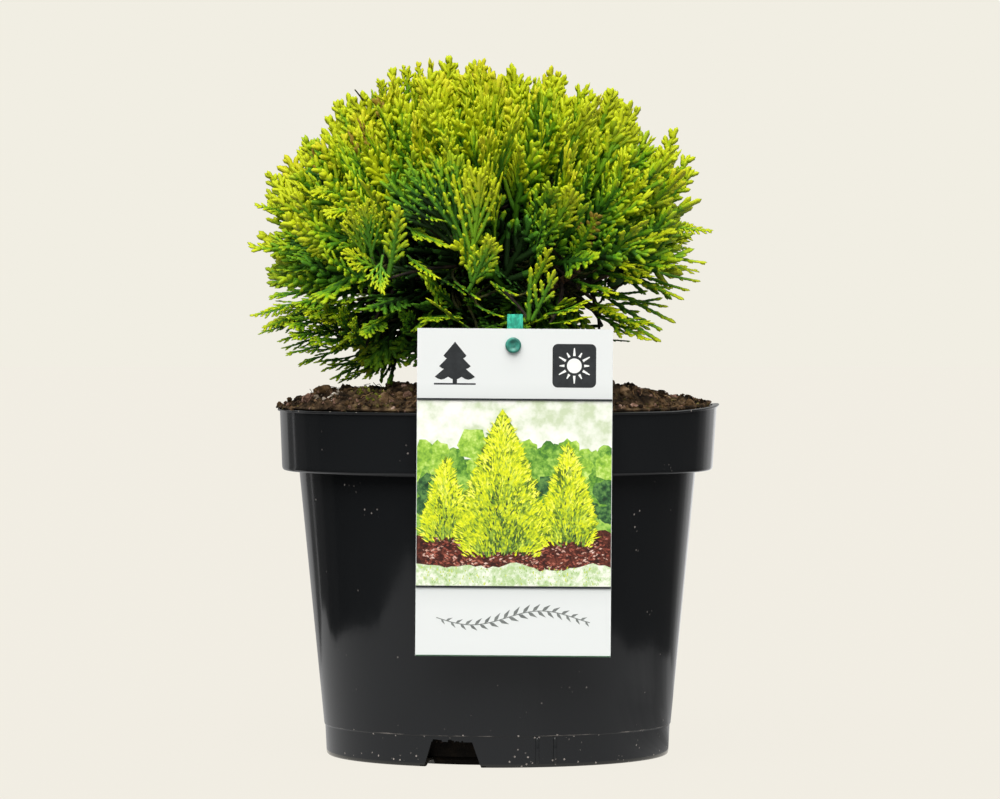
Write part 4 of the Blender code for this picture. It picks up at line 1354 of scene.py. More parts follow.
def left_out(direction, outermost):
    """Chance that a spray is left out: in the hollows, and low down, where the ground shows."""
    open_flank = 0.96 * (direction[0] > 0.40 and -0.66 < direction[2] < -0.17)
    open_left = 0.55 * (direction[0] < -0.30 and -0.80 < direction[2] < -0.36)
    if not outermost:
        return max(0.62 * (direction[2] < -0.28), open_flank, open_left)
    return max(0.95 * hollow_fade(direction), SKIRT_THIN * (direction[2] < -0.12), open_flank, open_left)


SKIRT_THIN = 0.30  # share of the lowest sprays left out
WITHERED, WITHERED_HIGH_LEFT = 0.010, 0.11  # shares of browned sprays
BARE_RADIUS = 0.022  # no spray starts closer than this to where the boughs part
TEMPLATE_LENGTH = 0.040
SCALE_LENGTH, INNER_SCALE_LENGTH = 0.0028, 0.0070
FAMILY = 8  # templates of each habit
FAMILIES = (FAN, FEATHER, LONG, STRING, SPARSE)

# Sprays put where they stand out: habit, tip and foot in mm, the way the face looks, and palette, whose
# darker numbers are partly painted shade.
ACCENTS = (
    # Central fan.
    (LONG, -47, -86, 250, -19, -74, 221, 1, -10, 2, 5), (LONG, -38, -86, 256, -18, -76, 221, 1, -10, 2, 5),
    (LONG, -28, -86, 259, -17, -78, 221, 0, -10, 1, 4), (LONG, -20, -88, 260, -16, -80, 220, 0, -10, 1, 3),
    (LONG, -12, -90, 256, -14, -80, 213, -2, -10, 0, 2), (LONG, -5, -93, 253, -12, -82, 210, 4, -9, 0, 1),
    (FAN, -4, -94, 225, -12, -80, 201, 2, -10, 0, 2),
    # Left fan.
    (LONG, -54, -88, 240, -52, -74, 212, 1, -10, 1, 2), (LONG, -61, -84, 238, -54, -70, 212, 0, -10, 2, 1),
    (FEATHER, -41, -90, 237, -46, -76, 206, 2, -10, 1, 2),
    (FAN, -66, -80, 217, -48, -70, 210, 0, -10, 4, 1), (FAN, -47, -90, 199, -48, -80, 216, 0, -10, -1, 2),
    # Cords across the hollow.
    (FEATHER, -22, -84, 230, -42, -70, 237, 0, -2, 10, 3),
    (FEATHER, -17, -84, 218, -42, -70, 230, 0, -2, 10, 2),
    (FEATHER, -24, -86, 206, -38, -70, 216, 3, -4, 10, 2),
    (FEATHER, -30, -92, 198, -12, -74, 185, 0, -3, 10, 2),
    (STRING, -7, -84, 197, -18, -70, 205, 0, -3, 10, 2), (STRING, 9, -82, 199, -3, -68, 205, 0, -3, 10, 2),
    (STRING, 3, -84, 190, -9, -70, 195, 0, -3, 10, 2), (STRING, -13, -76, 199, -24, -62, 206, 0, -3, 10, 3),
    # Right of the hollow.
    (FAN, 31, -84, 246, 18, -66, 221, 2, -10, 1, 1), (FEATHER, 34, -74, 265, 25, -66, 235, 8, -5, 0, 1),
    (FAN, 20, -76, 238, 14, -60, 213, -2, -10, 1, 4), (SPARSE, 23, -90, 219, 14, -74, 201, 2, -10, 4, 1),
    # Sprig over the stake.
    (STRING, 14, -93, 211, 13, -86, 188, -3, -10, 1, 2), (SPARSE, 24, -95, 210, 14, -86, 188, 3, -10, 1, 2),
    (FEATHER, -3, -86, 205, 11, -76, 192, 0, -3, 10, 3),
    # Top.
    (FEATHER, -44, -10, 298, -42, -8, 263, -2, -10, 0, 1),
    (FEATHER, -22, -6, 303, -22, -4, 266, 1, -10, 0, 1), (FEATHER, -10, 4, 302, -10, 2, 267, 3, -10, 0, 1),
    (FAN, -52, -12, 293, -48, -7, 272, -2, -9, 0, 1), (FAN, -41, -8, 299, -38, -5, 276, 1, -9, 0, 1),
    (FEATHER, -35, 4, 301, -33, 2, 275, -1, -9, 0, 0), (FEATHER, -46, 6, 298, -43, 4, 275, 1, -9, 0, 2),
    # Shoulders.
    (FEATHER, -85, -4, 266, -68, -4, 233, -1, -10, 0, 2),
    (FEATHER, -69, -10, 284, -57, -8, 251, -1, -10, 0, 2),
    (FEATHER, -101, -6, 252, -78, -4, 224, -1, -10, 1, 2),
    (FEATHER, 78, -6, 272, 62, -4, 238, 1, -10, 0, 1), (FEATHER, 50, -10, 289, 40, -8, 254, 1, -10, 0, 1),
    (FEATHER, 86, -4, 259, 65, -4, 229, 1, -10, 1, 2),
    # Fronds low on the right.
    (FEATHER, 93, -20, 227, 74, -12, 230, 1, -8, 6, 1), (STRING, 90, -30, 213, 65, -18, 218, 1, -6, 8, 1),
    (STRING, 88, -12, 205, 64, -7, 211, 1, -6, 8, 2), (STRING, 80, -34, 197, 56, -20, 206, 1, -6, 8, 1),
    (STRING, 77, -20, 187, 52, -12, 200, 1, -6, 8, 2), (STRING, 70, -40, 179, 44, -24, 194, 1, -6, 8, 2),
    (SPARSE, 67, -50, 187, 47, -30, 190, 1, -6, 8, 2), (STRING, 72, 0, 198, 47, 0, 195, 1, -6, 8, 4),
    (STRING, 66, 12, 201, 44, 7, 199, 1, -6, 8, 4), (STRING, 62, -4, 192, 41, -2, 195, 1, -6, 8, 3),
    (SPARSE, 66, -52, 180, 43, -31, 190, 1, -6, 8, 2), (FEATHER, 53, -64, 189, 42, -38, 196, 1, -6, 8, 1),
    (STRING, 56, -30, 182, 42, -18, 192, 1, -6, 8, 5), (STRING, 58, 4, 179, 44, 2, 180, 1, -6, 8, 6),
    (FEATHER, 85, 10, 219, 67, 6, 223, 1, -7, 6, 2), (FEATHER, 86, 24, 223, 67, 14, 225, 1, -7, 6, 1),
    (STRING, 84, 14, 210, 62, 8, 214, 1, -6, 8, 2), (STRING, 76, 6, 202, 54, 4, 207, 1, -6, 8, 3),
    (SPARSE, 67, -52, 207, 49, -31, 213, 1, -6, 8, 1), (SPARSE, 61, -60, 204, 42, -36, 210, 1, -6, 8, 2),
    (SPARSE, 58, -68, 211, 40, -41, 216, 1, -6, 8, 1), (SPARSE, 51, -72, 199, 34, -43, 205, 1, -6, 8, 2),
    (FAN, 40, -82, 197, 21, -68, 191, 1, -4, 10, 2), (FAN, 40, -86, 190, 22, -70, 187, 1, -3, 10, 1),
    (STRING, 74, -14, 194, 50, -8, 199, 1, -6, 8, 2), (STRING, 71, -30, 184, 49, -18, 197, 1, -6, 8, 3),
    (STRING, 83, -22, 201, 60, -13, 209, 1, -6, 8, 2), (STRING, 66, -22, 184, 43, -13, 194, 1, -6, 8, 3),
    (STRING, 61, -48, 186, 40, -29, 194, 1, -6, 8, 2), (SPARSE, 88, 0, 209, 66, 0, 215, 1, -6, 8, 1),
    (STRING, 56, -46, 197, 37, -28, 202, 1, -6, 8, 4),
    # Strings low on the left.
    (FEATHER, -108, -16, 222, -74, -10, 215, -1, -7, 7, 2),
    (FEATHER, -107, -16, 190, -87, -10, 195, -1, -6, 7, 2),
    (FEATHER, -101, -34, 185, -82, -20, 192, -1, -6, 7, 2),
    (SPARSE, -104, -6, 182, -84, -4, 189, -2, -5, 8, 3),
    (SPARSE, -95, -24, 179, -77, -14, 185, -2, -5, 8, 3),
    (SPARSE, -94, -8, 176, -74, -5, 183, -2, -5, 8, 3),
    (SPARSE, -91, -30, 173, -71, -18, 179, -2, -5, 8, 3),
    (SPARSE, -86, -14, 168, -67, -8, 176, -2, -5, 8, 3),
    (SPARSE, -79, -36, 170, -58, -22, 174, -2, -5, 8, 4),
    (SPARSE, -76, -24, 166, -57, -14, 172, -2, -5, 8, 3),
    (SPARSE, -72, -34, 163, -55, -20, 171, -2, -5, 8, 3),
    (SPARSE, -69, -18, 161, -52, -11, 169, -2, -5, 8, 3),
    (SPARSE, -58, -36, 163, -45, -22, 172, -2, -5, 8, 4),
    (STRING, -74, -12, 169, -49, -7, 170, -2, -5, 8, 4), (SPARSE, -84, 10, 174, -63, 6, 177, -2, -5, 8, 4),
    (SPARSE, -67, 6, 166, -48, 4, 174, -2, -5, 8, 4), (STRING, -50, -20, 161, -47, -12, 177, -2, -9, 2, 5),
    (STRING, -46, -12, 160, -45, -7, 177, 2, -9, 2, 5), (SPARSE, -38, -40, 169, -48, -24, 178, 2, -9, 2, 4),
    (LONG, -80, -54, 190, -68, -32, 181, -2, -9, 4, 3), (LONG, -74, -62, 194, -66, -37, 182, -1, -9, 4, 3),
    (LONG, -67, -66, 194, -62, -40, 180, 0, -9, 4, 3), (FAN, -91, -46, 186, -72, -28, 188, -2, -8, 6, 3),
    (FAN, -87, -50, 180, -69, -30, 184, -2, -8, 6, 3), (FAN, -78, -56, 178, -61, -34, 181, -2, -8, 6, 3),
    (LONG, -61, -70, 189, -56, -42, 177, 1, -9, 3, 4),
    (FEATHER, -57, -78, 182, -45, -47, 192, -2, -8, 5, 4),
    (SPARSE, -67, -44, 176, -47, -26, 182, -2, -5, 8, 4),
    (SPARSE, -63, -40, 171, -44, -24, 178, -2, -5, 8, 4),
    (SPARSE, -61, -30, 166, -43, -18, 175, -2, -5, 8, 4),
    (SPARSE, -65, -56, 180, -48, -34, 188, -2, -5, 8, 4),
    (SPARSE, -71, -50, 175, -51, -30, 181, -2, -5, 8, 4),
    (SPARSE, -99, -20, 187, -79, -12, 194, -2, -5, 8, 2),
    (SPARSE, -100, -38, 192, -80, -23, 197, -2, -5, 8, 2),
    (FAN, -74, -58, 187, -57, -36, 193, -2, -8, 6, 2), (FAN, -79, -58, 241, -62, -42, 245, -1, -8, 6, 1),
    (FEATHER, -105, -16, 239, -84, -10, 231, -1, -7, 7, 2),
    (FAN, -86, -50, 194, -65, -30, 200, -2, -6, 7, 3), (FAN, -80, -56, 189, -62, -34, 197, -2, -6, 7, 3),
    (SPARSE, -98, -30, 197, -76, -18, 202, -2, -6, 7, 3), (FAN, -71, -62, 189, -55, -37, 198, -2, -6, 7, 3),
    (SPARSE, -96, -20, 202, -76, -12, 206, -2, -6, 7, 3), (FAN, -92, -30, 191, -71, -18, 197, -2, -6, 7, 3),
    (FAN, -74, -66, 195, -58, -40, 203, -2, -6, 7, 3), (FAN, -82, -50, 190, -64, -32, 197, -2, -8, 6, 1),
    (STRING, -54, -26, 166, -45, -16, 176, -2, -9, 3, 5),
    (STRING, -50, -14, 163, -44, -8, 175, -2, -9, 3, 5), (FAN, -72, -66, 231, -55, -48, 238, -1, -8, 6, 1),
    (SPARSE, -57, -44, 168, -45, -26, 178, -2, -6, 7, 5),
    (STRING, -47, -32, 161, -43, -19, 175, 0, -9, 3, 5),
    # Shade behind the hollow.
    (FAN, -28, -44, 236, -12, -18, 207, 0, -10, 1, 7), (FAN, -42, -40, 232, -20, -16, 208, 1, -10, 1, 7),
    (FAN, -34, -42, 222, -12, -16, 203, 0, -10, 2, 7), (FAN, 6, -46, 226, 2, -18, 203, 1, -10, 1, 7),
    (FAN, -23, -50, 213, -19, -36, 197, 0, -10, 2, 5), (FAN, -12, -58, 202, -7, -40, 188, 0, -10, 2, 5),
    (SPARSE, -27, -62, 203, -15, -44, 192, 0, -10, 3, 4),
    (LONG, -43, -58, 211, -37, -40, 196, 0, -10, 2, 5), (FAN, -42, -60, 192, -33, -44, 181, 0, -10, 3, 5),
)


def accent_sprays(masses, placed, templates):
    """Adds the named sprays to the masses that they belong to."""
    for k, (habit, *numbers, palette) in enumerate(ACCENTS):
        number = FAMILIES.index(habit) * FAMILY + k % FAMILY
        shape = templates[number][0]
        end = shape[np.argmax(shape[:, 0])]
        tip, root, normal = np.array(numbers, dtype=float).reshape(3, 3)
        tip, root = tip / 1000, root / 1000
        scale = np.linalg.norm(tip - root) / np.linalg.norm(end)
        way = unit(tip - root)
        normal = unit(normal - way * (normal @ way))
        # Turned so that the leader's own bend and arch still end at the tip.
        arch = atan2(end[2], hypot(end[0], end[1]))
        bend = atan2(end[1], end[0])
        level = way * cos(arch) - normal * sin(arch)
        normal = way * sin(arch) + normal * cos(arch)
        side = np.cross(normal, level)
        along = level * cos(bend) - side * sin(bend)
        across = level * sin(bend) + side * cos(bend)
        axes = np.stack([along, across, normal])
        mass = owner_of(masses, tip)
        placed[mass.label].append(Spray(root, axes, scale, palette, number))


def sprays_mesh(name, sprays, templates, materials):
    """Joins sprays into one mesh."""
    verts, quads, tris, quad_tags, tri_tags, base = [], [], [], [], [], 0
    for spray in sprays:
        shape, four, three, four_tags, three_tags = templates[spray.template]
        colours = np.array(BROWNED if spray.palette < 0 else PALETTES[spray.palette])
        verts.append((shape * spray.scale) @ spray.axes + spray.root)
        quads.append(four + base)
        tris.append(three + base)
        quad_tags.append(colours[four_tags])
        tri_tags.append(colours[three_tags])
        base += len(shape)
    faces = [np.concatenate(quads), np.concatenate(tris)]
    tags = np.concatenate(quad_tags + tri_tags)
    return mesh_from_arrays(name, np.concatenate(verts), faces, materials, tags)


def plan_sprays(settings):
    """All the crown's sprays as (masses, outer sprays, their templates, inner sprays, theirs)."""
    masses = plan_masses()
    width = settings.cord_width
    fine = []
    for habit, seed in zip(FAMILIES, (100, 150, 180, 210, 230)):
        fine += [spray_template(seed + k, width, SCALE_LENGTH * habit.slim, habit) for k in range(FAMILY)]
    plain = [spray_template(200 + k, width, INNER_SCALE_LENGTH, PLAIN) for k in range(6)]
    outer = spray_layer(masses, settings.sprays, (0.90, 0.985), settings.spray_length, fine, 1)
    accent_sprays(masses, outer, fine)
    third = settings.inner_sprays // 3
    inside = {mass.label: [] for mass in masses}
    for seed, shares, size in ((2, (0.76, 0.88), 1.0), (3, (0.56, 0.74), 0.9), (4, (0.38, 0.54), 0.75)):
        layer = spray_layer(masses, third, shares, settings.spray_length * size, plain, seed)
        for label, sprays in layer.items():
            inside[label] += sprays
    return masses, outer, fine, inside, plain


class THUJA_OT_sprays(bpy.types.Operator):
    """Makes the scaly sprays of every mass of foliage"""

    bl_idname = "thuja.sprays"
    bl_label = "Sprays"

    def execute(self, context):
        masses, outer, fine, inner, plain = plan_sprays(context.scene.thuja_crown)
        materials = foliage_materials()
        for mass in masses:
            piece = sprays_mesh("sprays_" + mass.label, outer[mass.label], fine, materials)
            finish_piece(piece, "foliage", "foliage_" + mass.label)
            piece = sprays_mesh("inner_sprays_" + mass.label, inner[mass.label], plain, materials)
            finish_piece(piece, "foliage")
        return {"FINISHED"}


# ---------------------------------------------------------------- twigs


def twig_paths(mass, sprays):
    """Twigs of one mass: a few branches leave its stem, and each spray has a twig to the nearest."""
    start = GROWTH_ORIGIN + mass.way * BOUGH_REACH
    roots = np.array([spray.root for spray in sprays])
    chosen = [int(np.argmax(roots @ mass.way))]
    while len(chosen) < min(BRANCHES, len(roots)):
        gaps = np.min([np.linalg.norm(roots - roots[c], axis=1) for c in chosen], axis=0)
        chosen.append(int(np.argmax(gaps)))
    branches = []
    for k, c in enumerate(chosen):
        foot = start + (mass.centre - start) * (0.25 + 0.7 * k / len(chosen))
        end = roots[c]
        bend = (foot + end) / 2 + mass.way * np.linalg.norm(end - foot) * 0.18
        branches.append(curve_points(foot, bend, end, 9))
    paths, radii = list(branches), [np.linspace(*BRANCH_RADIUS, 9)] * len(branches)
    joints = np.concatenate([branch[2:8] for branch in branches])
    for k, spray in enumerate(sprays):
        if k in chosen:
            continue
        inward = unit(spray.root - GROWTH_ORIGIN)
        cost = np.linalg.norm(joints - spray.root, axis=1) + 0.8 * (joints - spray.root) @ inward
        foot = joints[int(np.argmin(cost))]
        run = np.linalg.norm(spray.root - foot)
        bend = spray.root - spray.axes[0] * run * 0.45
        paths.append(curve_points(foot, bend, spray.root + spray.axes[0] * 0.004, 6))
        radii.append(np.linspace(*TWIG_RADIUS, 6))
    return paths, radii


BRANCHES = 8  # the most branches that a mass has
BRANCH_RADIUS = (0.0011, 0.00055)
TWIG_RADIUS = (0.00065, 0.00050)
BARE_TWIG_RADIUS = (0.0008, 0.0003)
BARE_TWIG = ((-0.0470, 0.006, 0.2690), (-0.0548, -0.010, 0.2795), (-0.0614, -0.018, 0.2876))


def twig_skin(name, tones):
    """Twig skin: satin and green at first, brown and dull within a year, streaked lengthwise."""
    material, tree, shader = new_material(name, Roughness=0.75, IOR=1.4)
    place = node(tree, "TexCoord").outputs["Object"]
    # Streaks of about 3 mm.
    streaks = node(tree, "TexNoise", {"Scale": 330.0, "Detail": 3.0}, {"Vector": place})
    tone = colour_stops(node(tree, "ValToRGB", {}, {"Fac": streaks}), (0.36, 0.50, 0.64), tones)
    plug(tree, shader, {"Base Color": tone})
    return material


class THUJA_OT_twigs(bpy.types.Operator):
    """Makes the twigs that carry the sprays"""

    bl_idname = "thuja.twigs"
    bl_label = "Twigs"

    def execute(self, context):
        masses, outer, _, inner, _ = plan_sprays(context.scene.thuja_crown)
        paths, radii = [], []
        for mass in masses:
            more_paths, more_radii = twig_paths(mass, outer[mass.label] + inner[mass.label])
            paths += more_paths
            radii += more_radii
        # One bare dead twig stands out at the crown's upper left.
        paths.append(curve_points(*(np.array(point) for point in BARE_TWIG), 9))
        radii.append(np.linspace(*BARE_TWIG_RADIUS, 9))
        young = twig_skin("young_twig_skin", ("1C200B", "323610", "4A4A1C"))
        brown = twig_skin("brown_twig_skin", ("0E0906", "1F150F", "35281D"))
        tags = [int(radius[0] == BRANCH_RADIUS[0]) for radius in radii]
        verts, faces, indices = tubes(paths, radii, tags, 5)
        finish_piece(mesh_from_arrays("twigs", verts, faces, [young, brown], indices), "bark")
        return {"FINISHED"}


# ---------------------------------------------------------------- label and stake

# The card hangs by its hole, turned a little, so its own axes are set up first: u runs right from
# its middle, v runs down from its top edge, and layers of print lie one over the other.
CARD_WIDTH = CARD_HIGH.x - CARD_LOW.x
CARD_TALL = 0.1366
CARD_TOP_Z = 0.1852
CARD_THICK = CARD_HIGH.y - CARD_LOW.y
CARD_TURN = radians(0.42)
CARD_HOLE_RADIUS = 0.0021
STUD = Vector((STUD_X, 0.0, STUD_Z))
PRINT_LAYER = 0.000012
BAND_TOP = 0.0294  # the picture's top and bottom, down the card
BAND_FOOT = 0.1076


def card_point(u, v, lift=0.0):
    """A point of the card's front face, lifted off it towards the front."""
    x, z = CARD_MIDDLE + u - STUD.x, CARD_TOP_Z - v - STUD.z
    turned_x = x * cos(CARD_TURN) + z * sin(CARD_TURN)
    turned_z = z * cos(CARD_TURN) - x * sin(CARD_TURN)
    return Vector((STUD.x + turned_x, CARD_LOW.y - lift, STUD.z + turned_z))


def card_mesh():
    """A bmesh of the card with its hanging hole."""
    bm = bmesh.new()
    hole = Vector((STUD_X - CARD_MIDDLE, CARD_TOP_Z - STUD_Z))
    half = CARD_WIDTH / 2
    columns = sorted({-half + CARD_WIDTH * i / 24 for i in range(25)})
    outline = [(u, 0.0) for u in columns]
    outline += [(half, CARD_TALL * i / 12) for i in range(1, 13)]
    outline += [(u, CARD_TALL) for u in reversed(columns[:-1])]
    outline += [(-half, CARD_TALL * (12 - i) / 12) for i in range(1, 12)]
    count = len(outline)
    # Rings run from the hole's edge out to the card's outline.
    rings = []
    for lift in (0.0, -CARD_THICK):
        for share in (0.0, 0.16, 0.40, 0.70, 1.0):
            ring = []
            for u, v in outline:
                edge = hole + (Vector((u, v)) - hole).normalized() * CARD_HOLE_RADIUS
                place = edge.lerp(Vector((u, v)), share)
                ring.append(bm.verts.new(card_point(*place, lift)))
            rings.append(ring)
    order = [0, 1, 2, 3, 4, 9, 8, 7, 6, 5, 0]
    for a, b in zip(order, order[1:]):
        for i in range(count):
            j = (i + 1) % count
            bm.faces.new((rings[a][i], rings[a][j], rings[b][j], rings[b][i]))
    return bm


def coated_card(colour):
    """White calendered plastic card: satin, a shade greyer towards the picture's lines as painted shade."""
    material, tree, shader = new_material("calendered_white_card", IOR=1.46, Roughness=0.42)
    place = node(tree, "TexCoord").outputs["Object"]
    height = node(tree, "SeparateXYZ", {}, {"Vector": place}).outputs["Z"]
    # Painted shade: greyer within 7 mm above the picture's upper line and 10 mm below its lower one, and
    # flat grey behind the picture.
    near = {}
    for key, line, reach in ((0, CARD_TOP_Z - BAND_TOP, 0.007), (1, CARD_TOP_Z - BAND_FOOT, -0.010)):
        fading = dict(zip(RANGE, (line + reach, line, 0.0, 0.22)))
        near[key] = node(tree, "MapRange", fading, {"Value": height})
    both = node(tree, "Math", {}, near, operation="MINIMUM")
    ends = {"A": (*colour, 1.0), "B": srgb("B9C0BE")}
    tint = node(tree, "Mix", ends, {"Factor": both}, data_type="RGBA")
    # A fine calender grain of about 0.5 mm.
    grain = node(tree, "TexNoise", {"Scale": 2000.0, "Detail": 2.0}, {"Vector": place})
    bump = node(tree, "Bump", {"Strength": 0.04, "Distance": 0.0002}, {"Height": grain})
    plug(tree, shader, {"Base Color": tint, "Normal": bump})
    return material


def printed_ink(name, tones, grain):
    """Offset print: satin ink, mottled at a real size in metres like a printed garden view."""
    material, tree, shader = new_material(name, Roughness=0.38, IOR=1.46)
    place = node(tree, "TexCoord").outputs["Object"]
    scales = {}
    for key, size, detail in (("A", grain, 3.0), ("B", grain * 4.5, 1.0)):
        mottling = {"Scale": 1 / size, "Detail": detail, "Roughness": 0.6}
        scales[key] = node(tree, "TexNoise", mottling, {"Vector": place})
    mottle = node(tree, "Mix", {"Factor": 0.42}, scales, data_type="FLOAT")
    tone = colour_stops(node(tree, "ValToRGB", {}, {"Fac": mottle}), (0.40, 0.50, 0.60), tones)
    plug(tree, shader, {"Base Color": tone})
    return material


PRINT_INKS = (  # name, tones from dark to light, grain in metres
    ("ink_sky", ("C9D6B4", "E6EBDC", "F6F6F0"), 0.0060),
    ("ink_hedge_light", ("6C9E30", "9CC840", "CCE67A"), 0.0022),
    ("ink_hedge_mid", ("42782A", "74A838", "A6CE58"), 0.0019),
    ("ink_hedge_dark", ("1E3C24", "346234", "629048"), 0.0016),
    ("ink_conifer_base", ("4A6A1E", "A8BE18", "DEE40E"), 0.0013),
    ("ink_tuft_pale", ("E6EC28", "ECF03C", "F2F466"), 0.002),
    ("ink_tuft_yellow", ("D4DE06", "E0E808", "EAEE1C"), 0.002),
    ("ink_tuft_lime", ("A9C220", "C2D628", "D6E444"), 0.002),
    ("ink_tuft_green", ("5B8428", "7DA030", "9EBA40"), 0.002),
    ("ink_tuft_dark", ("1E3420", "335028", "4F7030"), 0.002),
    ("ink_mulch_dark", ("2A100C", "4E2218", "74382A"), 0.0008),
    ("ink_mulch_red", ("6E2E22", "96493A", "B8705C"), 0.0008),
    ("ink_mulch_pale", ("A87868", "CFA392", "E6CCC0"), 0.0008),
    ("ink_grass_pale", ("B4CF92", "D2E0BE", "EEF2E4"), 0.0014),
    ("ink_grass_green", ("86B45A", "A4C878", "C2DA9C"), 0.0014),
    ("ink_black", ("24272A", "282B2E", "2D3033"), 0.002),
    ("ink_grey", ("6C716F", "737876", "7C817F"), 0.002),
    ("ink_white", ("EDEFEE", "F0F2F1", "F3F5F4"), 0.002),
    ("ink_edge_green", ("1F4A2C", "245232", "2A5A38"), 0.002),
)
INK = {name: number for number, (name, _, _) in enumerate(PRINT_INKS)}


def add_print(bm, outline, layer, ink):
    """Adds a thin printed patch from its outline on the card."""
    low = [bm.verts.new(card_point(u, v, -PRINT_LAYER)) for u, v in outline]
    high = [bm.verts.new(card_point(u, v, PRINT_LAYER * layer)) for u, v in outline]
    faces = [bm.faces.new(low), bm.faces.new(list(reversed(high)))]
    count = len(outline)
    for i in range(count):
        j = (i + 1) % count
        faces.append(bm.faces.new((low[j], low[i], high[i], high[j])))
    for face in faces:
        face.material_index = INK[ink]


def rectangle(left, top, right, foot):
    """Outline of a rectangle on the card."""
    return [(left, top), (right, top), (right, foot), (left, foot)]


def ragged_band(rng, top, foot, rough):
    """Outline of a strip across the card whose upper edge is ragged."""
    half = CARD_WIDTH / 2 - 0.0002
    count = int(2 * half / 0.0024)
    upper = []
    for i in range(count + 1):
        u = -half + 2 * half * i / count
        swell = noise.noise(Vector((u * 90, top * 400, 0.5)))
        upper.append((u, top + rough * swell + rng.uniform(-0.2, 0.2) * rough))
    lower = [(half - 2 * half * i / count, foot) for i in range(count + 1)]
    return upper + lower


def cone_half_width(share):
    """Half width of a printed conifer, as a share of its greatest, down from its top."""
    return min(1.0, 0.04 + 1.18 * share**0.85) * (1.0 if share < 0.86 else 1 - 1.6 * (share - 0.86))


def conifer_outline(rng, centre, top, foot, half):
    """Outline of a printed cone-shaped conifer with tufts all along its sides."""
    left, right = [], []
    count = 26
    for i in range(count + 1):
        share = i / count
        v = top + (foot - top) * share
        for side, points in ((-1, left), (1, right)):
            tuft = 1 + (0.10 if i % 2 else -0.05) * rng.uniform(0.5, 1.4)
            points.append((centre + side * half * cone_half_width(share) * tuft, v))
    return [(centre, top - 0.0012)] + right + list(reversed(left))


def add_chip(bm, place, angle, length, width, layer, ink):
    """Adds a printed lozenge, broadest before its middle, that points along an angle."""
    way = Vector((cos(angle), -sin(angle))) * length
    side = Vector((-way.y, way.x)).normalized() * width
    start = Vector(place)
    points = (start, start + way * 0.35 + side, start + way, start + way * 0.35 - side)
    add_print(bm, points, layer, ink)


def add_tufts(bm, rng, centre, top, foot, half, count, layer):
    """Strews strokes over a printed conifer, bright on its rim and dark low in its middle."""
    shades = ("ink_tuft_dark", "ink_tuft_green", "ink_tuft_lime", "ink_tuft_yellow", "ink_tuft_pale")
    for k in range(count):
        share = rng.random() ** 0.7
        reach = rng.uniform(-1.0, 1.0)
        width = half * cone_half_width(share)
        place = (centre + reach * width, top + (foot - top) * (0.04 + 0.97 * share))
        lit = 1.0 - 0.95 * share * (1 - abs(reach) ** 1.6) + rng.gauss(0, 0.24)
        shade = shades[min(max(int(lit * 4.6), 0), 4)]
        angle = radians(90 - 58 * reach + rng.uniform(-26, 26))
        length, thick = rng.uniform(0.0012, 0.0036), rng.uniform(0.00018, 0.0005)
        step = 0.3 if shade == shades[0] else 1.2
        add_chip(bm, place, angle, length, thick, layer + step + 2 * k / count, shade)


def disc(u, v, radius, count):
    """Outline of a disc on the card."""
    return [(u + radius * cos(a), v + radius * sin(a)) for a in circle(count)]


def blob(rng, u, v, size, box):
    """Outline of a ragged shrub kept inside a box on the card."""
    low_u, low_v, high_u, high_v = box
    points = []
    for turn in circle(18):
        reach = size * rng.uniform(0.78, 1.15)
        x, y = u + reach * cos(turn), v + reach * sin(turn)
        points.append((min(max(x, low_u), high_u), min(max(y, low_v), high_v)))
    return points


def rounded_square(u, v, size, radius):
    """Outline of a square with rounded corners on the card."""
    points = []
    for corner, way in enumerate(((1, 1), (-1, 1), (-1, -1), (1, -1))):
        centre = Vector((u, v)) + Vector(way) * (size / 2 - radius)
        for i in range(6):
            turn = radians(90 * corner + 18 * i)
            points.append((centre.x + radius * cos(turn), centre.y + radius * sin(turn)))
    return points


HEDGE_ROWS = (  # height on the card, spread, shrubs, size, inks
    (0.0520, 0.0030, 16, 0.0058, ("ink_hedge_light", "ink_hedge_light", "ink_hedge_mid")),
    (0.0590, 0.0030, 18, 0.0052, ("ink_hedge_light", "ink_hedge_mid", "ink_hedge_mid")),
    (0.0670, 0.0030, 20, 0.0050, ("ink_hedge_mid", "ink_hedge_mid", "ink_hedge_dark")),
    (0.0750, 0.0030, 22, 0.0048, ("ink_hedge_mid", "ink_hedge_dark", "ink_hedge_dark")),
    (0.0820, 0.0020, 24, 0.0042, ("ink_hedge_dark", "ink_hedge_mid")),
)
CONIFERS = (  # middle, peak, base and half width
    (0.0225, 0.0480, 0.0905, 0.0120),
    (-0.0285, 0.0540, 0.0890, 0.0100),
    (-0.0050, 0.0345, 0.0950, 0.0190),
)


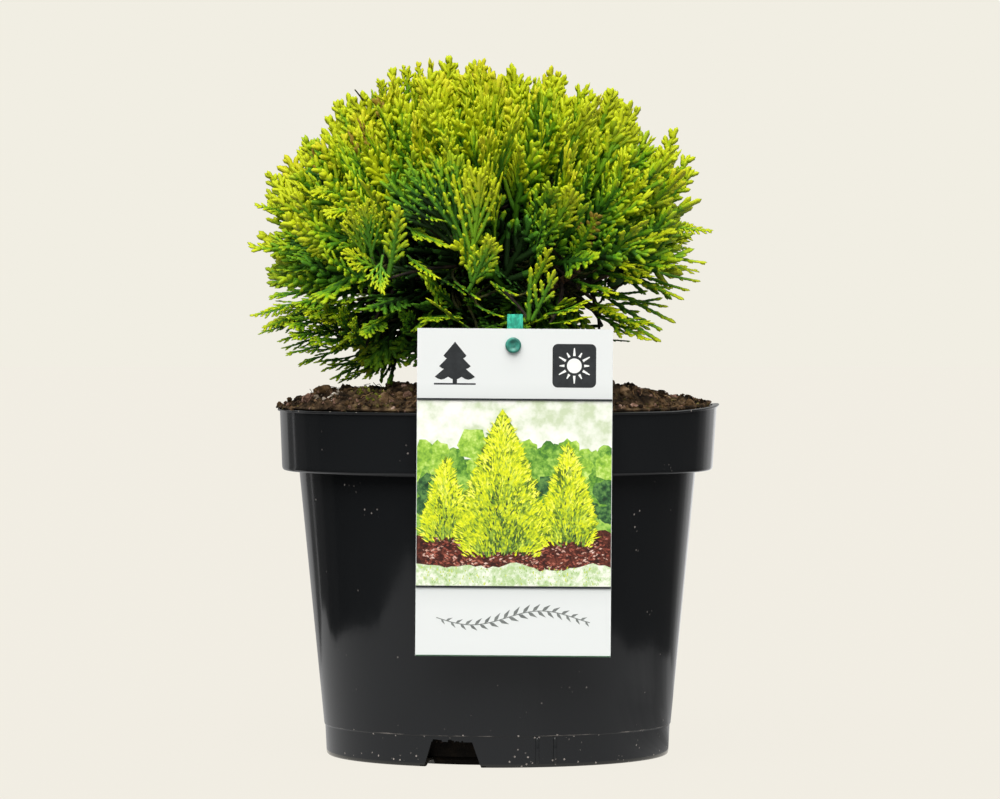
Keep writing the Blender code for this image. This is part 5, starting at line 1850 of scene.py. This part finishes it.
def picture_print(bm, rng):
    """The printed garden view: pale sky, hedges, three golden cone-shaped conifers, mulch, grass."""
    half = CARD_WIDTH / 2 - 0.0002
    top, foot = BAND_TOP + 0.0004, BAND_FOOT - 0.0002
    box = (-half, top, half, foot)
    add_print(bm, rectangle(-half, top, half, foot), 1, "ink_sky")
    add_print(bm, rectangle(-half, 0.0545, half, 0.090), 1.5, "ink_hedge_mid")
    layer = 2.0
    for height, spread, count, size, inks in HEDGE_ROWS:
        for k in range(count):
            u = -half + 2 * half * (k + rng.random()) / count
            swell = 0.0040 * noise.noise(Vector((u * 60, 0.3, 0.7)))
            v = height + swell + rng.uniform(-spread, spread)
            layer += 0.04
            add_print(bm, blob(rng, u, v, size * rng.uniform(0.7, 1.2), box), layer, rng.choice(inks))
    add_print(bm, ragged_band(rng, 0.0850, 0.106, 0.0030), 8, "ink_mulch_dark")
    for k in range(900):
        place = (rng.uniform(-half + 0.002, half - 0.002), rng.uniform(0.0862, 0.1010))
        ink = rng.choice(("ink_mulch_dark", "ink_mulch_red", "ink_mulch_red", "ink_mulch_pale"))
        length = rng.uniform(0.0008, 0.0022)
        add_chip(bm, place, rng.uniform(-0.7, 0.7), length, length * 0.22, 9 + k / 900, ink)
    add_print(bm, ragged_band(rng, 0.0992, foot, 0.0030), 11, "ink_grass_pale")
    for k in range(260):
        place = (rng.uniform(-half + 0.002, half - 0.002), rng.uniform(0.1000, foot - 0.0004))
        ink = rng.choice(("ink_grass_green", "ink_grass_pale", "ink_tuft_lime"))
        turn, length = rng.uniform(0.9, 2.2), rng.uniform(0.0008, 0.0018)
        add_chip(bm, place, turn, length, 0.00022, 12 + k / 260, ink)
    for number, (centre, peak, base, wide) in enumerate(CONIFERS):
        layer = 14 + 5 * number
        outline = conifer_outline(rng, centre, peak, base - 0.002, wide)
        add_print(bm, outline, layer, "ink_conifer_base")
        add_tufts(bm, rng, centre, peak, base, wide, int(62000 * wide), layer)


def pictogram_print(bm):
    """The two small signs: a tiered tree on a line, and a sun in a dark square."""
    u, foot = -0.0250, 0.0228
    tiers = ((0.0056, 0.0120, 0.0048), (0.0090, 0.0164, 0.0066), (0.0130, 0.0208, 0.0084))
    add_print(bm, rectangle(u - 0.0087, foot, u + 0.0087, foot + 0.0007), 1, "ink_black")
    add_print(bm, rectangle(u - 0.0009, 0.0197, u + 0.0009, foot), 1, "ink_black")
    for layer, (top, base, wide) in enumerate(tiers):
        lower = []
        for i in range(13):
            share = i / 12
            dip = 0.0012 * abs(sin(pi * 3 * share))
            lower.append((u + wide - 2 * wide * share, base + dip - 0.0006))
        add_print(bm, [(u, top)] + lower, 2 + layer, "ink_black")
    u, v = 0.0247, 0.0153
    add_print(bm, rounded_square(u, v, 0.0182, 0.0022), 1, "ink_black")
    add_print(bm, disc(u, v, 0.0031, 24), 2, "ink_white")
    for i, turn in enumerate(circle(12)):
        way = Vector((cos(turn), sin(turn)))
        side = Vector((-way.y, way.x)) * 0.00055
        near, far = way * 0.0041, way * (0.0074 if i % 2 else 0.0062)
        ray = [near + side, near - side, far - side * 0.4, far + side * 0.4]
        add_print(bm, [(u + point.x, v + point.y) for point in ray], 2, "ink_white")


def sprig_print(bm):
    """A grey leafy sprig along the card's lower band."""
    shares = [i / 32 for i in range(33)]
    waves = [0.0030 * sin(2.2 * pi * share) for share in shares]
    stem = [Vector((-0.0320 + 0.0640 * share, 0.1205 + wave)) for share, wave in zip(shares, waves)]
    for a, b in zip(stem, stem[1:]):
        side = Vector((a.y - b.y, b.x - a.x)).normalized() * 0.00018
        add_print(bm, (a + side, a - side, b - side, b + side), 1, "ink_grey")
    for i in range(1, 32):
        way = (stem[i + 1] - stem[i]).normalized()
        turn = radians(38 if i % 2 else -38)
        cosine, sine = cos(turn), sin(turn)
        lean = Vector((way.x * cosine - way.y * sine, way.x * sine + way.y * cosine))
        length = 0.0048 * (0.55 + 0.45 * sin(pi * i / 32))
        side = Vector((-lean.y, lean.x)) * length * 0.16
        middle = stem[i] + lean * length * 0.35
        leaf = (stem[i], middle + side, stem[i] + lean * length, middle - side)
        add_print(bm, leaf, 2, "ink_grey")


def line_print(bm):
    """The thin lines over and under the picture and along the card's lower edge."""
    half = CARD_WIDTH / 2 - 0.0001
    for v, thick, ink in (
        (BAND_TOP - 0.0003, 0.0008, "ink_black"),
        (BAND_FOOT - 0.0004, 0.0008, "ink_black"),
        (CARD_TALL - 0.0005, 0.0004, "ink_edge_green"),
    ):
        add_print(bm, rectangle(-half, v, half, v + thick), 44, ink)


class THUJA_OT_label(bpy.types.Operator):
    """Makes the printed card"""

    bl_idname = "thuja.label"
    bl_label = "Label card"

    def execute(self, context):
        white = coated_card(tuple(context.scene.thuja_label.card_colour))
        card = mesh_from_bmesh("label_sheet", card_mesh(), [white], 30)
        finish_piece(card, "label_card", "label_card")
        inks = [printed_ink(*row) for row in PRINT_INKS]
        rng = random.Random(SEED)
        for name, add in (
            ("label_picture", lambda bm: picture_print(bm, rng)),
            ("label_signs", pictogram_print),
            ("label_sprig", sprig_print),
            ("label_lines", line_print),
        ):
            bm = bmesh.new()
            add(bm)
            finish_piece(mesh_from_bmesh(name, bm, inks, 20), "label_card")
        return {"FINISHED"}


STAKE_TOP_Z = 0.1912
STAKE_TIP_Z = STAKE_LOW.z
STAKE_RIBS = 3
STUD_PROFILE = [(0.0018, STAKE_BACK_Y - STAKE_THICK + 0.0004)] + [
    (radius, CARD_LOW.y - ahead)
    for radius, ahead in (
        (0.0018, 0.0001),
        (0.0030, 0.0001),
        (0.0033, 0.0005),
        (0.0033, 0.0013),
        (0.0031, 0.0017),
        (0.0027, 0.0019),
        (0.0021, 0.0018),
        (0.0016, 0.0014),
        (0.0011, 0.0011),
        (0.0006, 0.0012),
    )
]


def stake_mesh():
    """A bmesh of the ribbed stake, pointed below, and of its stud with a dimple."""
    bm = bmesh.new()
    middle_y = STAKE_BACK_Y - STAKE_THICK / 2
    columns = 6 * STAKE_RIBS
    rings = []
    low, high = STAKE_TIP_Z + 0.014, STAKE_TOP_Z - 0.0006
    heights = [(STAKE_TIP_Z, 0.10), (STAKE_TIP_Z + 0.009, 0.72)]
    heights += [(low + (high - low) * i / 6, 1.0) for i in range(7)]
    heights += [(STAKE_TOP_Z - 0.0002, 0.985), (STAKE_TOP_Z, 0.94)]
    for z, share in heights:
        front, back = [], []
        for i in range(columns + 1):
            across = i / columns
            x = STUD_X + STAKE_SHIFT + (across - 0.5) * STAKE_WIDTH * share
            rib = 0.5 - 0.5 * cos(2 * pi * STAKE_RIBS * across)
            edge = min(1.0, min(across, 1 - across) * columns / 1.5)
            depth = (STAKE_THICK / 2 - 0.0007 * (1 - rib)) * (0.45 + 0.55 * edge) * (0.5 + 0.5 * share)
            front.append(Vector((x, middle_y - depth, z)))
            back.append(Vector((x, middle_y + depth, z)))
        rings.append(front + list(reversed(back)))
    skin_rings(bm, rings)
    first_stud_face = len(bm.faces)
    rings = []
    for radius, y in STUD_PROFILE:
        stud = [(STUD_X + radius * cos(a), STUD_Z + radius * sin(a)) for a in circle(40)]
        rings.append([Vector((x, y, z)) for x, z in stud])
    skin_rings(bm, rings)
    for number, face in enumerate(bm.faces):
        face.material_index = int(number >= first_stud_face)
    return bm


def moulded_teal(name, colour):
    """Injection-moulded polystyrene, dyed through: satin and slightly cloudy."""
    material, tree, shader = new_material(name, IOR=1.50, Roughness=0.42)
    place = node(tree, "TexCoord").outputs["Object"]
    # Clouds of about 2 mm, where the dye is thicker or thinner.
    clouds = node(tree, "TexNoise", {"Scale": 500.0, "Detail": 3.0}, {"Vector": place})
    spread = node(tree, "MapRange", dict(zip(RANGE, (0.42, 0.62, 0.0, 1.0))), {"Value": clouds})
    ends = {"A": (*(channel * 0.55 for channel in colour), 1.0), "B": (*colour, 1.0)}
    tint = node(tree, "Mix", ends, {"Factor": spread}, data_type="RGBA")
    plug(tree, shader, {"Base Color": tint})
    return material


class THUJA_OT_stake(bpy.types.Operator):
    """Makes the ribbed stake with the stud that holds the card"""

    bl_idname = "thuja.stake"
    bl_label = "Label stake"

    def execute(self, context):
        settings = context.scene.thuja_label
        teals = [
            moulded_teal("moulded_polystyrene_teal", tuple(settings.stake_colour)),
            moulded_teal("moulded_polystyrene_dark_teal", tuple(settings.stud_colour)),
        ]
        stake = mesh_from_bmesh("stake_moulding", stake_mesh(), teals, 50)
        finish_piece(stake, "stake_plastic", "label_stake")
        return {"FINISHED"}


# ---------------------------------------------------------------- studio


def studio_world(fill):
    """A pale backdrop that fills in with a dimmer light of its own."""
    world = bpy.data.worlds.new("studio")
    world.use_nodes = True
    tree = world.node_tree
    tree.nodes.clear()
    ray = node(tree, "LightPath")
    # The light is weaker from below, where the paper lies in the plant's own shade.
    place = node(tree, "TexCoord").outputs["Generated"]
    height = node(tree, "SeparateXYZ", {}, {"Vector": place}).outputs["Z"]
    dimming = dict(zip(RANGE, (-0.5, 0.9, fill * 0.95, fill * 1.5)))
    level = node(tree, "MapRange", dimming, {"Value": height})
    lit = node(tree, "Background", {"Color": srgb("F6F7F5")}, {"Strength": level})
    backdrop = node(tree, "Background", {"Color": srgb(BACKDROP), "Strength": 1.0})
    mixed = node(tree, "MixShader", {}, {0: ray.outputs["Is Camera Ray"], 1: lit, 2: backdrop})
    node(tree, "OutputWorld", {}, {"Surface": mixed})
    return world


BACKDROP = "F1EEE3"
LIGHT_SPREAD = 64  # degrees
LIGHT_WAY = Vector((0.10, 0.70, -1.0))  # down, away from the camera and a little to the right
# What the pot's gloss meets on the floor, as (name, brightness).
GLOSS_CARDS = (
    ("paper_in_front", 0.54),
    ("paper_at_right", 0.40),
    ("paper_behind", 0.42),
    ("dim_room", 0.12),
    ("dimmer_room", 0.07),
    ("dimmest_room", 0.03),
    ("dark_room", 0.003),
    ("bright_paper_behind", 1.05),
    ("dim_paper_behind", 0.42),
    ("room_at_right", 0.055),
    ("dim_room_at_right", 0.20),
    ("paper_behind_at_right", 0.60),
    ("paper_in_front_at_right", 0.52),
    ("paper_between", 0.47),
    ("half_shaded_paper", 0.33),
    ("shaded_paper", 0.24),
    ("shaded_paper_behind", 0.30),
)
GLOSS_Z = 0.001
GLOSS_RADII = (0.076, 0.160, 0.185, *(0.210 + 0.004 * k for k in range(57)), 9.0)
# How far out the near paper reaches, at degrees from straight in front towards the right.
NEAR_REACH = (
    (-145, -135, -127, -120, -112, -102, -90, -79, -70, -60, -49, -35)
    + (20, 60, 70, 78, 92, 103, 115, 124, 134, 145),
    (0.34, 0.44, 0.40, 0.32, 0.29, 0.283, 0.270, 0.258, 0.256, 0.285, 0.31, 0.26)
    + (0.225, 0.236, 0.240, 0.228, 0.243, 0.262, 0.270, 0.285, 0.32, 0.29),
)
# Degrees up to which each card reaches: of the near paper, and of what lies beyond on each side.
NEAR_CARDS = ((20, 0), (84, 12), (94, 13), (99, 1), (104, 14), (118, 15), (126, 16), (181, 2))
RING_CARDS = {  # the near paper's two innermost rings, which the pot's foot mirrors
    0.076: ((20, 0), (66, 12), (74, 13), (82, 1), (90, 14), (97, 16))
    + ((110, 15), (118, 16), (125, 14), (150, 13), (181, 2)),
    0.160: ((20, 0), (72, 12), (84, 13), (92, 1), (100, 14), (118, 15), (126, 16), (181, 2)),
}
LEFT_CARDS = ((106, 6), (120, 5), (134, 4), (146, 3), (181, 2))
RIGHT_CARDS = ((20, 6), (130, 9), (136, 3), (141, 10), (148, 8), (160, 11), (181, 7))


def gloss_zone(turn, radius):
    """Number of the gloss card at degrees to the camera's right and at a radius."""
    if radius < np.interp(turn, *NEAR_REACH):
        cards = RING_CARDS.get(radius, NEAR_CARDS)
    else:
        turn, cards = abs(turn), LEFT_CARDS if turn < 0 else RIGHT_CARDS
    return next(card for limit, card in cards if turn < limit)


def gloss_card():
    """Cards on the floor that only glossy rays see: near paper, the dark room, paper behind."""
    glows = []
    for name, level in GLOSS_CARDS:
        glow = {"Emission_Color": (1, 1, 1, 1), "Emission_Strength": level}
        glows.append(new_material(name, Base_Color=(0, 0, 0, 1), Specular_IOR_Level=0.0, **glow)[0])
    bm = bmesh.new()
    count = 360
    rings = [[bm.verts.new(polar(r, a, GLOSS_Z)) for a in circle(count)] for r in GLOSS_RADII]
    for radius, near, far in zip(GLOSS_RADII, rings, rings[1:]):
        for i in range(count):
            j = (i + 1) % count
            face = bm.faces.new((near[i], far[i], far[j], near[j]))
            turn = (360 * (i + 0.5) / count + 90 + 180) % 360 - 180
            face.material_index = gloss_zone(turn, radius)
    card = mesh_from_bmesh("gloss_card", bm, glows)
    for kind in ("camera", "diffuse", "transmission", "volume_scatter", "shadow"):
        setattr(card, "visible_" + kind, False)
    return card


class THUJA_OT_studio(bpy.types.Operator):
    """Makes the paper floor, the light and the camera"""

    bl_idname = "thuja.studio"
    bl_label = "Studio"

    def execute(self, context):
        settings = context.scene.thuja_studio
        scene = context.scene
        # Seamless paper lit from below as well: matt and even, so that it fades into the backdrop.
        paper, _, _ = new_material(
            "seamless_paper",
            Base_Color=srgb("1C1C1A"),
            Roughness=1.0,
            Specular_IOR_Level=0.0,
            Emission_Color=srgb("EFEBE1"),
            Emission_Strength=1.0,
        )
        bm = bmesh.new()
        bmesh.ops.create_grid(bm, x_segments=1, y_segments=1, size=settings.floor_size / 2)
        floor = mesh_from_bmesh("floor", bm, [paper])
        floor.visible_diffuse = False
        gloss_card()
        scene.world = studio_world(settings.fill)
        light = bpy.data.lights.new("overhead", "SUN")
        light.energy = settings.sun
        light.angle = radians(LIGHT_SPREAD)
        light.color = srgb("FFFDF8")[:3]
        lamp = bpy.data.objects.new("overhead", light)
        lamp.rotation_euler = LIGHT_WAY.to_track_quat("-Z", "Y").to_euler()
        scene.collection.objects.link(lamp)
        camera = bpy.data.cameras.new("camera")
        camera.sensor_width = SENSOR_WIDTH
        camera.lens = SENSOR_WIDTH * FOCAL_PIXELS / FRAME_WIDTH
        camera.clip_end = 60
        eye = bpy.data.objects.new("camera", camera)
        eye.location = CAMERA_PLACE
        eye.rotation_euler = (pi / 2 - CAMERA_PITCH, 0, 0)
        scene.collection.objects.link(eye)
        scene.camera = eye
        scene.view_settings.view_transform = "Standard"
        return {"FINISHED"}


# ---------------------------------------------------------------- add-on


class THUJA_PT_panel(bpy.types.Panel):
    """Lists the thuja's pieces and settings"""

    bl_idname = "THUJA_PT_panel"
    bl_label = "Potted thuja"
    bl_space_type = "VIEW_3D"
    bl_region_type = "UI"
    bl_category = "Thuja"

    def draw(self, context):
        scene = context.scene
        for name in SETTINGS:
            group = getattr(scene, name)
            for prop in group.__annotations__:
                self.layout.prop(group, prop)
        for operator in OPERATORS:
            self.layout.operator(operator.bl_idname)


SETTINGS = {
    "thuja_pot": ThujaPotSettings,
    "thuja_crown": ThujaCrownSettings,
    "thuja_label": ThujaLabelSettings,
    "thuja_studio": ThujaStudioSettings,
}
OPERATORS = (
    THUJA_OT_pot,
    THUJA_OT_soil,
    THUJA_OT_limbs,
    THUJA_OT_twigs,
    THUJA_OT_sprays,
    THUJA_OT_label,
    THUJA_OT_stake,
    THUJA_OT_studio,
)


def register():
    """Registers the classes and hangs the settings on the scene."""
    for cls in (*SETTINGS.values(), *OPERATORS, THUJA_PT_panel):
        bpy.utils.register_class(cls)
    for name, cls in SETTINGS.items():
        setattr(bpy.types.Scene, name, PointerProperty(type=cls))


def unregister():
    """Takes the settings and the classes away again."""
    for name in SETTINGS:
        delattr(bpy.types.Scene, name)
    for cls in reversed((*SETTINGS.values(), *OPERATORS, THUJA_PT_panel)):
        bpy.utils.unregister_class(cls)


def main():
    """Builds every piece in order."""
    register()
    bpy.ops.thuja.pot()
    bpy.ops.thuja.soil()
    bpy.ops.thuja.limbs()
    bpy.ops.thuja.twigs()
    bpy.ops.thuja.sprays()
    bpy.ops.thuja.label()
    bpy.ops.thuja.stake()
    bpy.ops.thuja.studio()


if __name__ == "__main__":
    main()
